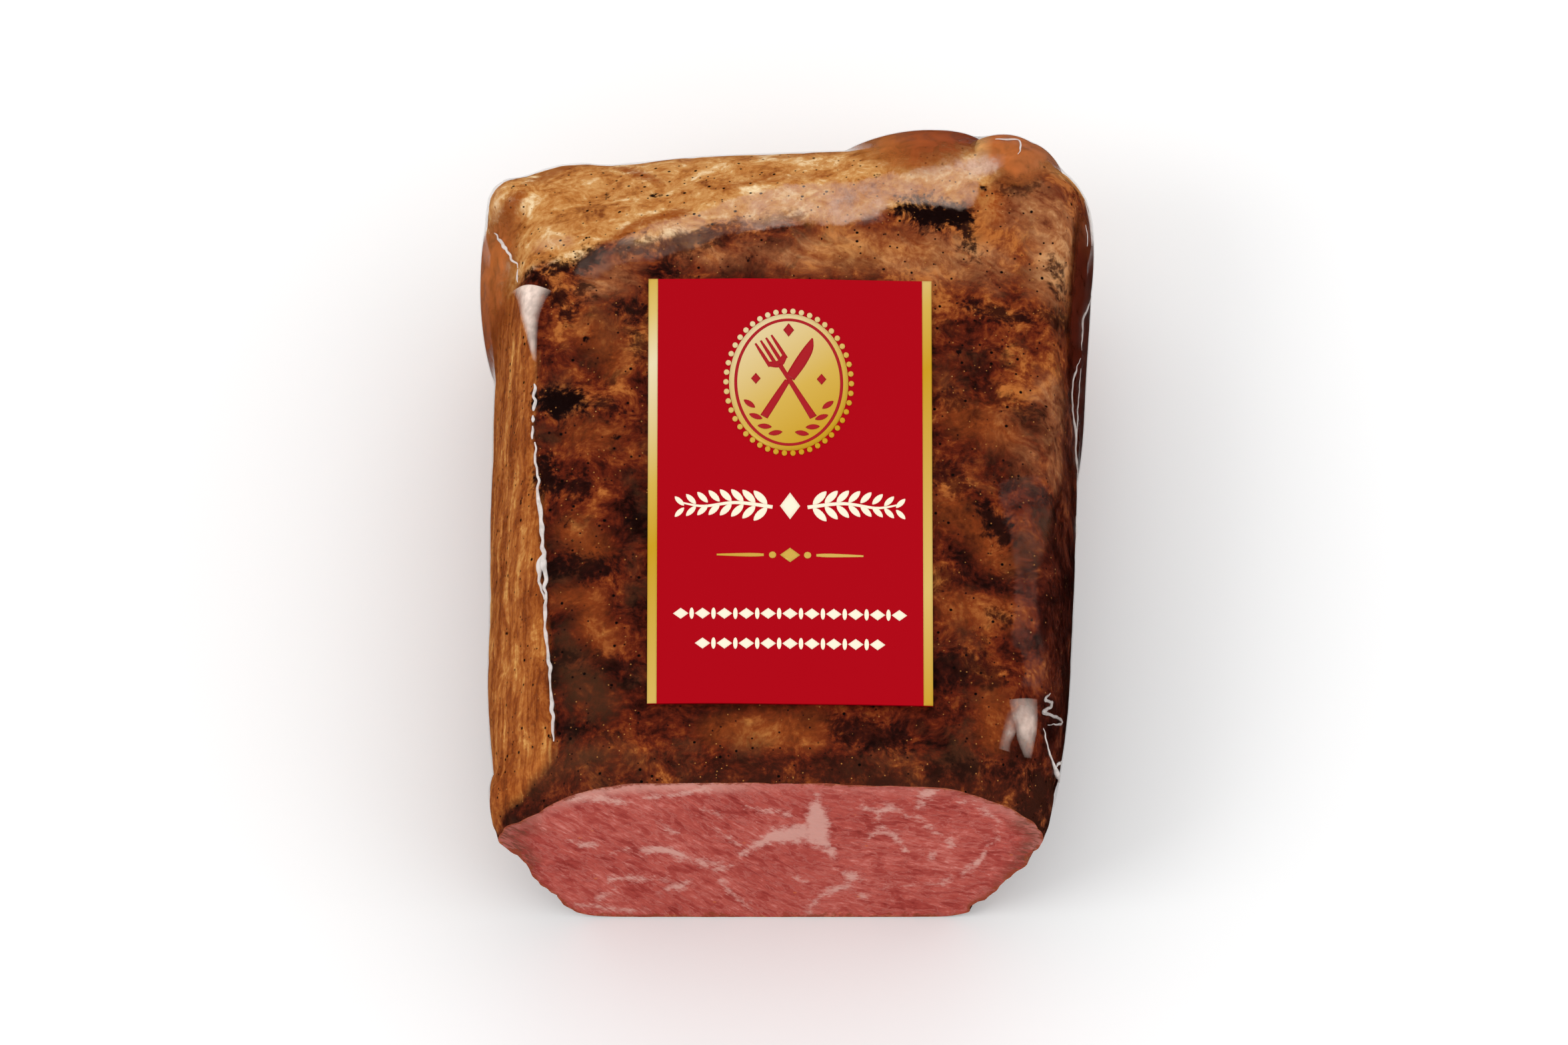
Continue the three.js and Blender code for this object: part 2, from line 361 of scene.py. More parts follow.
# One shader node: its settings, its sockets' values, the links into them and a ramp's (place, hex) stops.
def addNode(tree, kind, values=None, links=None, stops=None, **settings):
    node = tree.nodes.new("ShaderNode" + kind)
    for key, value in settings.items():
        setattr(node, key, value)
    for key, value in (values or {}).items():
        node.inputs[key].default_value = value
    for key, socket in (links or {}).items():
        tree.links.new(socket, node.inputs[key])
    if stops:
        elements = node.color_ramp.elements
        while len(elements) < len(stops):
            elements.new(1.0)
        for element, (place, code) in zip(elements, stops):
            element.position = place
            element.color = hexColour(code)
    return node


# Roasted crust: seared in an iron pan, so it is brown with charred spots and pepper, and moist.
crustLook = {
    "clearance": 0.08,                              # from the film's outside to its highest places, in mm
    "crag": (5.5, 0.42), "grain": (1.7, 0.2),       # size and depth of each kind of relief
    "fibre": ((1.1, 12, 1.1), 0.07), "fold": ((9, 6, 7), 0.08), "ragged": (1.9, 0.9),
    "calm": 0.3,                                    # how much of the crags is left on the sides and the far slope
    # how much of each pocket's depth the meat takes up, and where along y it comes to fill it
    "filled": {"far": (0.5, 130), "corner": (0.5, 130), "left": (0.5, 96), "right": (0.2, 94)},
    "rows": 138, "endRows": 54, "columns": 360, "cutSteps": 150,
    # colour noises: size in mm, detail, roughness and share in the mix
    "noises": {"broad": (10, 2, 0.5, 0.25), "mottle": (5.2, 6, 0.62, 0.28), "blotch": (2.1, 5, 0.68, 0.27),
               "grain": (0.8, 3, 0.6, 0.2)},
    "swirl": (8, 5.0), "bend": 3.0,                 # size of the noise that pulls the others, and how far
    "fibreSlant": math.radians(12),                # the side's long fibres rise towards the cut
    "streaks": (-34, (7, 1.7, 3)),                  # slant and sizes of the pale streaks on the light browned part
    "browns": [(0.05, "#1b0401"), (0.28, "#401004"), (0.5, "#631f09"), (0.72, "#863c15"), (0.95, "#b4682e")],
    "tans": [(0.05, "#552611"), (0.3, "#884726"), (0.6, "#ad7044"), (0.95, "#d9a774")],
    "warms": [(0.05, "#6a290b"), (0.5, "#a04d1a"), (0.95, "#d08c48")],
    "flank": [(0.05, "#6b2f0d"), (0.35, "#914615"), (0.62, "#b4682b"), (0.95, "#dfa65b")],
    "slope": [(0.05, "#824115"), (0.35, "#b97434"), (0.62, "#d09858"), (0.95, "#f3d7aa")],
    # dark red browns right of the right crease: partly crust wet with jus, partly painted shade on the side away from
    # the light
    "wetShadedBrowns": [(0.05, "#210603"), (0.4, "#3a0f06"), (0.65, "#551b0b"), (0.95, "#7c3a1a")],
    "char": "#170503", "olive": "#50301a", "rust": "#93450f", "nearCut": "#38160a",
    # dots: cell in mm, radius in mm, share of the cells that have one (added to it where burnt), and colour
    "dots": [(2.0, 0.3, 0.5, 0.27, "#0c0402"), (1.1, 0.2, 0.4, 0.26, "#260c05"), (0.8, 0.14, 0.2, 0.4, "#a56c34"),
             (1.9, 0.12, 0.08, 0.2, "#cfa060")],
}

# Places on the plan, as (amount, line of x, y and half width). Charred spots and the pan's bars:
charShapes = [
    (1.0, [(18.4, 95.8, 1.6), (20.9, 95.0, 2.3), (22.8, 94.4, 2.6), (24.9, 94.8, 2.3), (26.6, 94.2, 1.8)]),
    (0.9, [(26.9, 94.0, 1.2), (27.5, 92.2, 1.1), (28.0, 89.8, 0.9), (28.3, 88.6, 0.6)]),
    (0.6, [(33.2, 99.7, 1.0), (34.8, 99.7, 1.2), (36.8, 99.8, 0.9)]),
    (0.8, [(40.6, 87.1, 0.7), (41.1, 85.4, 0.9), (41.1, 83.5, 0.6)]),
    (0.8, [(27.2, 79.4, 0.5), (29.6, 78.8, 0.9), (32.4, 78.2, 1.0), (36.2, 77.6, 0.9)]),
    (0.6, [(37.6, 78.6, 1.0), (40.0, 78.5, 1.2), (42.2, 79.6, 1.1)]),
    (0.5, [(22.5, 64.0, 1.2), (26.1, 63.8, 1.3)]),
    (0.4, [(30.4, 65.2, 1.3), (32.2, 64.3, 1.3)]),
    (0.6, [(35.4, 62.4, 1.2), (37.8, 61.6, 0.9)]),
    (0.5, [(22.5, 52.1, 2.0), (25.0, 50.0, 1.8), (26.8, 48.8, 1.2)]),
    (0.9, [(29.6, 46.2, 1.1), (31.4, 43.2, 1.8), (32.8, 40.9, 1.1)]),
    (0.4, [(32.9, 49.6, 0.8), (36.5, 49.8, 1.0), (40.4, 47.7, 0.7)]),
    (0.6, [(35.4, 35.1, 0.5), (36.8, 35.2, 0.6)]),
    (0.45, [(22.5, 33.8, 1.7), (25.5, 34.8, 1.6)]),
    (0.4, [(30.0, 33.2, 1.2), (32.6, 34.4, 1.2)]),
    (0.8, [(31.2, 28.6, 0.7), (32.8, 27.6, 0.7)]),
    (0.55, [(22.5, 18.6, 2.4), (26.5, 20.2, 2.2), (31.0, 18.4, 1.8)]),
    (0.9, [(-37.9, 85.9, 0.9), (-35.3, 85.7, 1.0), (-32.9, 85.8, 0.9)]),
    (0.8, [(-35.8, 83.0, 0.8), (-33.6, 80.6, 1.3), (-32.4, 78.0, 1.3)]),
    (0.7, [(-31.6, 85.4, 0.6), (-31.2, 83.4, 0.6), (-29.8, 81.4, 0.8)]),
    (0.9, [(-30.6, 86.6, 1.3), (-28.2, 88.0, 1.2)]),
    (0.62, [(-24.5, 89.0, 1.1), (-22.9, 89.2, 1.4), (-19.0, 89.0, 1.8), (-16.1, 89.4, 2.1), (-12.7, 90.6, 1.8),
            (-8.7, 91.8, 1.5)]),
    (0.4, [(-8.7, 91.8, 1.4), (-5.0, 92.6, 1.1), (-1.6, 93.2, 1.1), (2.1, 94.4, 0.8)]),
    (0.8, [(-24.0, 78.9, 0.9), (-21.9, 78.3, 1.1), (-20.5, 77.3, 0.8)]),
    (0.85, [(-18.7, 85.3, 1.0), (-16.6, 84.7, 0.9)]),
    (0.6, [(-21.6, 73.2, 1.0), (-21.2, 71.2, 1.1)]),
    (1.0, [(-36.0, 64.2, 1.5), (-33.6, 62.8, 2.6), (-31.6, 63.1, 2.0)]),
    (0.7, [(-27.0, 62.4, 1.1), (-25.6, 61.4, 1.1)]),
    (0.9, [(-35.9, 53.8, 1.0), (-35.4, 50.4, 1.8), (-33.4, 48.8, 1.4)]),
    (0.7, [(-31.6, 48.4, 1.6), (-30.6, 49.4, 1.4)]),
    (0.85, [(-33.8, 36.1, 1.7), (-31.0, 36.6, 1.3)]),
    (0.8, [(-28.4, 35.4, 2.1), (-25.8, 35.6, 1.4)]),
    (0.6, [(-33.6, 21.4, 1.0), (-31.3, 20.7, 0.9)]),
    (0.55, [(-27.1, 20.5, 1.2), (-21.8, 18.2, 1.2)]),
    (0.6, [(-32.4, 9.4, 0.9), (-30.8, 9.6, 0.8)]),
    (0.6, [(8.6, 9.0, 1.7), (13.0, 7.8, 2.2), (16.6, 7.2, 1.7)]),
    (0.5, [(22.0, 2.8, 1.0), (29.3, 4.2, 0.8), (36.5, 5.4, 0.6)]),
]
# Single peppercorns and pores, as x, y and radius:
specks = [
    (23.2, 92.7, 0.35), (29.9, 99.5, 0.55), (39.5, 99.7, 0.4), (26.1, 71.4, 0.6), (34.2, 43.4, 0.4), (28.0, 44.1, 0.4),
    (-24.9, 57.0, 0.55), (-23.2, 42.9, 0.45), (-32.2, 42.8, 0.35), (-31.9, 43.6, 0.3), (-29.2, 10.2, 0.5),
    (-27.9, 9.6, 0.3), (-26.4, 101.0, 0.4), (-19.6, 100.2, 0.55), (-18.6, 100.0, 0.35), (-29.6, 73.6, 0.4),
    (14.0, 101.9, 0.5), (11.2, 101.2, 0.3), (23.6, 103.8, 0.35), (-5.4, 86.6, 0.4), (11.4, 89.0, 0.35),
]
# Where the crust glows orange brown:
warmShapes = [
    (1.0, [(29.6, 97.5, 1.4), (31.6, 98.0, 1.7), (31.0, 95.4, 1.4)]),
    (0.6, [(26.8, 60.2, 2.0), (29.7, 60.3, 2.2), (32.9, 58.0, 2.2)]),
    (0.55, [(24.6, 45.8, 2.2), (27.5, 43.5, 2.0), (32.2, 37.2, 1.6)]),
    (0.5, [(25.0, 29.6, 2.0), (33.0, 28.4, 1.8)]),
    (0.6, [(30.6, 15.0, 1.3), (31.2, 8.4, 1.4)]),
    (0.65, [(-31.6, 41.7, 1.7), (-28.4, 38.7, 2.0)]),
    (0.6, [(-32.6, 30.9, 1.3), (-29.0, 30.0, 1.6), (-28.4, 25.6, 1.8), (-26.4, 23.0, 1.3)]),
    (0.4, [(-31.0, 57.8, 1.4), (-26.4, 57.4, 1.6)]),
    (0.6, [(-9.4, 8.8, 2.2), (3.4, 8.8, 2.4)]),
    (0.5, [(-28.6, 74.6, 2.0), (-25.4, 70.0, 2.2)]),
    (0.45, [(6.0, 88.4, 2.0), (20.0, 89.0, 2.2)]),
]
# Where it is only lightly browned, and where it is a dull olive brown:
tanShapes = [
    (0.75, [(33.5, 96.4, 2.0), (38.5, 96.0, 4.0), (41.0, 91.0, 3.4), (39.5, 84.4, 2.6)]),
    (0.5, [(-14.0, 87.0, 1.6), (4.0, 88.0, 2.4), (22.0, 88.0, 3.0), (31.0, 86.0, 3.0)]),
    (0.6, [(40.0, 66.0, 2.0), (40.6, 53.0, 1.8)]),
    (0.35, [(34.0, 58.0, 3.0), (37.0, 53.0, 2.4)]),
    (0.5, [(-28.0, 83.0, 2.2), (-24.0, 84.4, 2.6)]),
]
oliveShapes = [
    (0.6, [(-32.3, 25.1, 1.0), (-30.3, 17.0, 2.8), (-27.1, 13.3, 2.4)]),
    (0.5, [(9.0, 87.0, 1.6), (13.0, 86.6, 1.4)]),
    (0.5, [(-36.0, 4.5, 2.0), (-26.0, 5.5, 1.6)]),
]
# Rusty creases on the far slope:
rustShapes = [
    (0.9, [(-24.5, 108.4, 0.5), (-22.4, 106.5, 0.9), (-20.3, 104.8, 0.8), (-18.4, 103.3, 0.4)]),
    (0.8, [(-26.1, 90.3, 0.4), (-24.0, 92.2, 0.8), (-21.9, 93.6, 0.9), (-19.5, 94.5, 0.8), (-16.6, 95.3, 0.9)]),
    (0.9, [(-16.6, 95.5, 1.0), (-14.5, 95.7, 0.7)]),
    (0.9, [(-42.1, 97.6, 1.0), (-41.1, 100.3, 1.3), (-39.8, 101.9, 0.9)]),
    (0.7, [(-38.0, 104.6, 1.0), (-35.0, 107.0, 1.2), (-32.0, 108.7, 0.9)]),
    (0.5, [(16.5, 100.6, 0.3), (19.2, 99.6, 0.5)]),
    (0.4, [(-9.0, 101.0, 0.8), (-2.0, 102.4, 0.6), (6.0, 102.6, 0.5)]),
]
# The line along which the brown top gives way to the pale far slope, and the top's two side creases:
ridgeLine = [(-46, 85), (-38, 86.6), (-31.5, 86.8), (-27, 90), (-19, 90.4), (-13, 92.2), (-9, 93.2), (-2, 94.2), (2, 94.4),
             (4, 93.2), (7, 92.6), (11, 93.4), (14.8, 95.8), (19, 96.6), (24, 97), (26.4, 96.2), (29, 98.4), (31.6, 101.6),
             (34, 103.3), (46, 104)]
leftCrease = [(0, -45.5), (2, -42), (4, -38), (6, -35), (8.5, -34), (30, -35.6), (44, -36.2), (58, -37.4), (71, -37.2), (88, -40), (98, -43.4),
              (112, -45)]
rightCrease = [(0, 44), (8, 41.5), (9.6, 39.4), (12.3, 38.2), (16.4, 37.6), (20.7, 38.8), (25.2, 38), (33.2, 37.4),
               (42.3, 39.4), (50.3, 40.6), (59.7, 41.8), (69, 42.2), (83.1, 42.9), (90.7, 43.6), (98.9, 44.3), (112, 45)]


# The lump lowered by crags along the noise's middle value, and by grain, folds and fibres. All of it fades
# out underneath, where the block rests.
def crustLevel(points):
    look = crustLook
    x, y, z = points[..., 0], points[..., 1], points[..., 2]
    slope = np.clip((y - np.interp(x, *zip(*ridgeLine))) / 3, 0, 1)
    flank = np.clip((np.interp(y, *zip(*leftCrease)) - x) / 2, 0, 1)
    ragged = np.clip(1 - y / 2.5, 0, 1) * np.clip((30 - z) / 8, 0, 1)
    rightward = np.clip((x - np.interp(y, *zip(*rightCrease))) / 2, 0, 1)
    calm = 1 - (1 - look["calm"]) * np.maximum(np.maximum(slope, flank), rightward)
    relief = calm * look["crag"][1] * (1 - np.abs(2 * smoothNoise(points, look["crag"][0]) - 1)) ** 3
    relief += calm * look["grain"][1] * smoothNoise(points, look["grain"][0], seed=7)
    relief += slope * look["fold"][1] * (1 - np.abs(2 * smoothNoise(points, look["fold"][0], seed=19) - 1)) ** 2
    relief += flank * look["fibre"][1] * smoothNoise(points, look["fibre"][0], seed=23)
    relief += ragged * look["ragged"][1] * smoothNoise(points, look["ragged"][0], seed=3)
    filled = np.zeros(points.shape[:-1])
    for name, (share, fullFrom) in look["filled"].items():
        part = np.maximum(share, 0.9 * np.clip((y - fullFrom) / 5, 0, 1))
        depth = pocketDepth(points, name)
        filled = np.maximum(filled, part * np.where(part > share, depth, depth ** 1.6 / pockets[name][2] ** 0.6))
    return filmRise(points) + filled - look["clearance"] - relief * np.clip(z / 3, 0.1, 1)


# Sliced roast beef: pink inside with pale fat between the muscles.
cutLook = {
    "seenHeight": 0.438,    # a length up the face looks this much shorter from the camera's height
    "lean": [(0.05, "#85251f"), (0.35, "#a53e36"), (0.62, "#ba5449"), (0.95, "#d8857a")],
    "fat": "#d5a094", "hairline": "#dba197", "blood": "#9a2b24", "spark": "#d2703a", "gilt": "#c97b3f",
    "rim": "#8f3f26", "edgePale": "#dca496", "edgeBrown": "#6b3a2a", "marble": "#cf8b80",
    # slant and cell sizes in mm of the bundles and the hairs between them, on the left and on the right
    "sides": {"left": (54, (4.6, 4, 1.7), (2.8, 3, 0.5)), "right": (24, (3.4, 4, 2.2), (1.9, 3, 0.75))},
    "granule": 1.3,
}
# Fat seams on the cut, as x, height and half width in mm as the camera sees them.
fatShapes = [
    [(5.0, 42.0, 0.3), (4.7, 38.5, 1.0), (4.9, 34.1, 1.8), (5.1, 29.5, 1.8), (6.1, 25.3, 0.9), (7.3, 21.4, 0.3)],
    [(5.1, 30.8, 1.4), (1.7, 29.5, 1.3), (-1.6, 28.4, 1.1), (-4.1, 25.3, 0.6), (-6.5, 22.4, 0.3)],
    [(-26.3, 22.5, 0.1), (-22.5, 23.3, 0.3), (-19.1, 23.6, 0.5), (-16.7, 23.1, 0.6), (-14.2, 20.8, 0.5)],
    [(-14.2, 20.8, 0.5), (-11.3, 18.4, 0.6), (-8.9, 17.7, 0.4), (-7.0, 18.4, 0.1)],
    [(-32.2, 27.5, 0.1), (-30.2, 25.5, 0.4), (-27.3, 25.3, 0.1)],
    [(-10.4, 17.5, 0.4), (-9.4, 13.1, 0.3), (-8.2, 8.7, 0.3), (-6.5, 6.5, 0.1), (-5.0, 3.2, 0.1)],
    [(-26.3, 12.9, 0.2), (-24.4, 13.3, 0.3), (-22.0, 14.2, 0.3), (-20.5, 13.1, 0.2), (-17.6, 13.3, 0.1)],
    [(-23.4, 15.5, 0.1), (-21.3, 13.8, 0.2)],
    [(-18.6, 8.9, 0.1), (-16.7, 10.9, 0.4), (-15.4, 10.7, 0.5), (-14.2, 12.6, 0.2)],
    [(-27.8, 6.5, 0.1), (-26.3, 8.1, 0.2), (-24.9, 9.2, 0.2), (-25.1, 10.9, 0.1)],
    [(3.7, 2.6, 0.6), (4.6, 5.9, 0.5), (6.1, 8.1, 0.4), (8.0, 9.8, 0.5), (9.7, 11.5, 0.7), (10.0, 14.2, 0.7)],
    [(10.0, 14.2, 0.6), (8.5, 15.9, 0.3), (7.5, 17.3, 0.1)],
    [(10.0, 14.2, 0.5), (11.2, 13.7, 0.2)],
    [(10.0, 9.8, 0.3), (11.2, 7.4, 0.3), (12.4, 6.7, 0.2)],
    [(1.7, 14.8, 0.1), (2.2, 12.9, 0.3), (3.2, 12.6, 0.1)],
    [(11.2, 39.6, 0.1), (12.6, 38.0, 0.3), (13.8, 37.4, 0.4), (15.3, 38.5, 0.5), (17.2, 37.4, 0.2), (18.0, 35.8, 0.1)],
    [(12.4, 27.5, 0.2), (13.5, 30.2, 0.5), (14.8, 30.8, 0.4), (16.3, 29.1, 0.5), (17.2, 26.4, 0.4), (18.4, 21.9, 0.1)],
    [(13.8, 37.4, 0.4), (14.1, 33.5, 0.3), (14.8, 30.8, 0.3)],
    [(19.9, 38.5, 0.2), (20.4, 41.8, 0.6), (21.4, 44.3, 0.7), (22.8, 45.1, 0.3)],
    [(19.7, 35.8, 0.1), (21.6, 31.3, 0.1), (23.5, 28.0, 0.2), (25.0, 26.4, 0.3), (25.9, 27.5, 0.1)],
    [(25.9, 40.2, 0.1), (27.9, 39.6, 0.2), (29.8, 37.4, 0.2), (31.8, 33.5, 0.1)],
    [(22.1, 21.7, 0.4), (22.8, 22.8, 0.2)],
    [(26.4, 15.5, 0.2), (27.9, 17.5, 0.3), (29.3, 20.3, 0.2), (30.3, 25.3, 0.2), (31.8, 27.5, 0.1)],
    [(15.3, 10.9, 0.1), (19.2, 10.7, 0.1), (22.6, 11.5, 0.1), (25.0, 13.7, 0.1)],
    [(-31.7, 41.8, 0.2), (-27.3, 41.8, 0.4), (-23.4, 40.7, 0.2)],
    [(-20.5, 41.8, 0.2), (-16.7, 42.9, 0.4), (-13.8, 44.0, 0.5), (-10.8, 45.1, 0.3)],
    [(-18.6, 33.5, 0.1), (-16.7, 30.8, 0.1), (-15.9, 28.6, 0.1)],
    [(-9.9, 30.2, 0.1), (-7.9, 27.5, 0.2), (-6.5, 25.5, 0.1)],
    [(-11.8, 38.0, 0.1), (-9.6, 35.8, 0.1)],
    [(-6.0, 38.5, 0.1), (-4.1, 38.0, 0.1), (-1.2, 36.3, 0.1), (0.8, 35.8, 0.1)],
    [(-31.2, 4.1, 0.2), (-26.3, 2.9, 0.3), (-20.5, 2.1, 0.2)],
]


# The sum of some values, each times its weight.
def weighted(tree, parts):
    total = None
    for value, weight in parts:
        links = {0: value} if total is None else {0: value, 2: total}
        total = addNode(tree, "Math", {1: weight, 2: 0.0}, links, operation="MULTIPLY_ADD").outputs[0]
    return total


# Colours laid over one another, each by a factor of its own. A colour is a hex value or a socket.
def layered(tree, under, layers):
    for top, factor in layers:
        values, links = {}, {0: factor, 6: under}
        if isinstance(top, str):
            values[7] = hexColour(top)
        else:
            links[7] = top
        under = addNode(tree, "Mix", values, links, data_type="RGBA").outputs[2]
    return under


# Seared beef crust: swirling browns over four sizes of noise, char, pepper, and pale fibres on the sides.
def crustMaterial():
    look = crustLook
    material, tree = newMaterial("seared_beef_crust")
    place = addNode(tree, "TexCoord").outputs["Object"]
    size, reach = look["swirl"]
    pull = addNode(tree, "TexNoise", {"Scale": perMetre(size), "Detail": 2.0}, {"Vector": place})
    centred = addNode(tree, "VectorMath", {1: (0.5, 0.5, 0.5)}, {0: pull.outputs["Color"]}, operation="SUBTRACT")
    swirled = addNode(tree, "VectorMath", {1: (reach * mm,) * 3}, {0: centred.outputs[0], 2: place}, operation="MULTIPLY_ADD")
    noises = {
        key: addNode(tree, "TexNoise", {"Scale": perMetre(size), "Detail": detail, "Roughness": rough},
                     {"Vector": swirled.outputs[0]}).outputs["Fac"]
        for key, (size, detail, rough, share) in look["noises"].items()
    }
    fields = {
        key: addNode(tree, "Attribute", attribute_name=key).outputs["Fac"]
        for key in ("charField", "charAmount", "warmField", "warmAmount", "tanField", "tanAmount", "oliveField",
                    "oliveAmount", "rustField", "rustAmount", "speckField", "flank", "slope", "end", "wetShadedSide", "nearCut",
                    "tone")
    }
    mixed = weighted(tree, [(noises[key], look["noises"][key][3]) for key in noises] + [(fields["tone"], 1.0)])
    shade = addNode(tree, "MapRange", {"From Min": 0.375, "From Max": 0.62}, {"Value": mixed}).outputs[0]
    browns, warms, wetShadedBrowns = (
        addNode(tree, "ValToRGB", links={"Fac": shade}, stops=look[key]).outputs["Color"] for key in ("browns", "warms", "wetShadedBrowns")
    )
    # Noise that breaks the edges of every field, in millimetres.
    broken = {}
    for key, blotch, grain in (("wide", 5.0, 2.0), ("narrow", 1.2, 1.4), ("crumbly", 7.0, 5.0)):
        both = weighted(tree, [(noises["blotch"], blotch), (noises["grain"], grain)])
        broken[key] = addNode(tree, "Math", {1: (blotch + grain) / 2}, {0: both}, operation="SUBTRACT").outputs[0]

    # 1 inside a field and 0 outside, across soft millimetres to each side, times its amount.
    def inside(key, soft, edge="wide"):
        reached = addNode(tree, "Math", links={0: fields[key + "Field"], 1: broken[edge]}, operation="ADD")
        share = addNode(tree, "MapRange", {"From Min": -soft, "From Max": soft, "To Min": 1.0, "To Max": 0.0},
                        {"Value": reached.outputs[0]}, interpolation_type="SMOOTHSTEP").outputs[0]
        if key + "Amount" not in fields:
            return share
        return addNode(tree, "Math", links={0: share, 1: fields[key + "Amount"]}, operation="MULTIPLY").outputs[0]

    # Long fibres of the flank run along the block, and the far slope's pattern is drawn out across it.
    bent = addNode(tree, "VectorMath", {1: (look["bend"] * mm,) * 3}, {0: centred.outputs[0], 2: place}, operation="MULTIPLY_ADD")
    fibres = []
    for sizes, detail in (((2.2, 26, 3.6), 6), ((0.7, 14, 1.1), 5)):
        along = addNode(tree, "Mapping", {"Scale": tuple(size * mm for size in sizes), "Rotation": (look["fibreSlant"], 0, 0)},
                        {"Vector": bent.outputs[0]}, vector_type="TEXTURE")
        fibres.append(addNode(tree, "TexNoise", {"Scale": 1.0, "Detail": detail, "Roughness": 0.62, "Distortion": 0.3},
                              {"Vector": along.outputs[0]}).outputs["Fac"])
    fibre = weighted(tree, [(fibres[0], 0.3), (fibres[1], 0.24), (noises["broad"], 0.1), (noises["mottle"], 0.12),
                            (noises["blotch"], 0.1), (noises["grain"], 0.14)])
    fibre = addNode(tree, "MapRange", {"From Min": 0.39, "From Max": 0.615}, {"Value": fibre})
    turned = {}
    for key, slant, sizes in (("fold", 22, (8, 4.6, 6)), ("streak", *look["streaks"])):
        across = addNode(tree, "Mapping", {"Scale": tuple(size * mm for size in sizes), "Rotation": (0, 0, math.radians(slant))},
                         {"Vector": swirled.outputs[0]}, vector_type="TEXTURE")
        turned[key] = addNode(tree, "TexNoise", {"Scale": 1.0, "Detail": 5.0, "Roughness": 0.55, "Distortion": 0.8},
                              {"Vector": across.outputs[0]}).outputs["Fac"]
    fold = weighted(tree, [(turned["fold"], 0.38), (noises["mottle"], 0.2), (noises["blotch"], 0.24), (noises["grain"], 0.18)])
    folds = addNode(tree, "MapRange", {"From Min": 0.385, "From Max": 0.635}, {"Value": fold})
    streaked = weighted(tree, [(mixed, 0.72), (turned["streak"], 0.28)])
    tan = addNode(tree, "MapRange", {"From Min": 0.385, "From Max": 0.615}, {"Value": streaked})
    ramps = {
        key: addNode(tree, "ValToRGB", links={"Fac": node.outputs[0]}, stops=look[key]).outputs["Color"]
        for key, node in (("flank", fibre), ("slope", folds), ("tans", tan))
    }
    # Burnt and olive patches come from their own noises, on the brown part alone.
    patches = {}
    for key, size, low, high, most in (("burnt", 4.0, 0.54, 0.68, 0.65), ("dull", 12.0, 0.5, 0.66, 0.5)):
        patch = addNode(tree, "TexNoise", {"Scale": perMetre(size), "Detail": 7.0, "Roughness": 0.7},
                        {"Vector": swirled.outputs[0]})
        patches[key] = addNode(tree, "MapRange", {"From Min": low, "From Max": high, "To Max": most},
                               {"Value": patch.outputs["Fac"]}, interpolation_type="SMOOTHSTEP").outputs[0]
    # The last millimetres before the cut are darker in mottles: partly singed crust, partly painted shade.
    mottled = addNode(tree, "MapRange", {"From Min": 0.4, "From Max": 0.58, "To Min": 1.0, "To Max": 0.15}, {"Value": mixed})
    singedAndShaded = addNode(tree, "Math", links={0: fields["nearCut"], 1: mottled.outputs[0]}, operation="MULTIPLY")
    colour = layered(tree, browns, [
        (look["olive"], patches["dull"]), (look["char"], patches["burnt"]), (ramps["tans"], inside("tan", 3.0)),
        (look["olive"], inside("olive", 2.5)), (warms, inside("warm", 2.5)),
        (ramps["flank"], fields["flank"]), (ramps["slope"], fields["slope"]), (look["nearCut"], singedAndShaded.outputs[0]),
        (look["rust"], inside("rust", 0.8, "narrow")),
        (wetShadedBrowns, fields["wetShadedSide"]), (ramps["tans"], fields["end"]), (look["char"], inside("char", 1.0, "crumbly")),
    ])
    # Ground pepper and pores are dark dots, and grains and glints are light ones.
    for cell, radius, share, more, code in look["dots"]:
        grid = addNode(tree, "TexVoronoi", {"Scale": perMetre(cell)}, {"Vector": place})
        dot = addNode(tree, "MapRange", {"From Min": 0.6 * radius / cell, "From Max": radius / cell, "To Min": 1.0, "To Max": 0.0},
                      {"Value": grid.outputs["Distance"]})
        chosen = addNode(tree, "SeparateColor", links={0: grid.outputs["Color"]})
        wanted = addNode(tree, "Math", {1: more, 2: share}, {0: patches["burnt"]}, operation="MULTIPLY_ADD")
        some = addNode(tree, "Math", links={0: chosen.outputs[0], 1: wanted.outputs[0]}, operation="LESS_THAN")
        both = addNode(tree, "Math", links={0: dot.outputs[0], 1: some.outputs[0]}, operation="MULTIPLY")
        colour = layered(tree, colour, [(code, both.outputs[0])])
    colour = layered(tree, colour, [(look["char"], inside("speck", 0.2, "narrow"))])
    height = addNode(tree, "Math", links={0: noises["blotch"], 1: noises["grain"]}, operation="ADD")
    bump = addNode(tree, "Bump", {"Strength": 0.5, "Distance": 0.35 * mm}, {"Height": height.outputs[0]})
    rough = addNode(tree, "MapRange", {"From Min": 0.3, "From Max": 0.7, "To Min": 0.42, "To Max": 0.7}, {"Value": noises["blotch"]})
    surface = addNode(tree, "BsdfPrincipled", {"IOR": 1.45, "Specular IOR Level": 0.08},
                      {"Base Color": colour, "Roughness": rough.outputs[0], "Normal": bump.outputs[0]})
    addNode(tree, "OutputMaterial", links={"Surface": surface.outputs[0]})
    return material


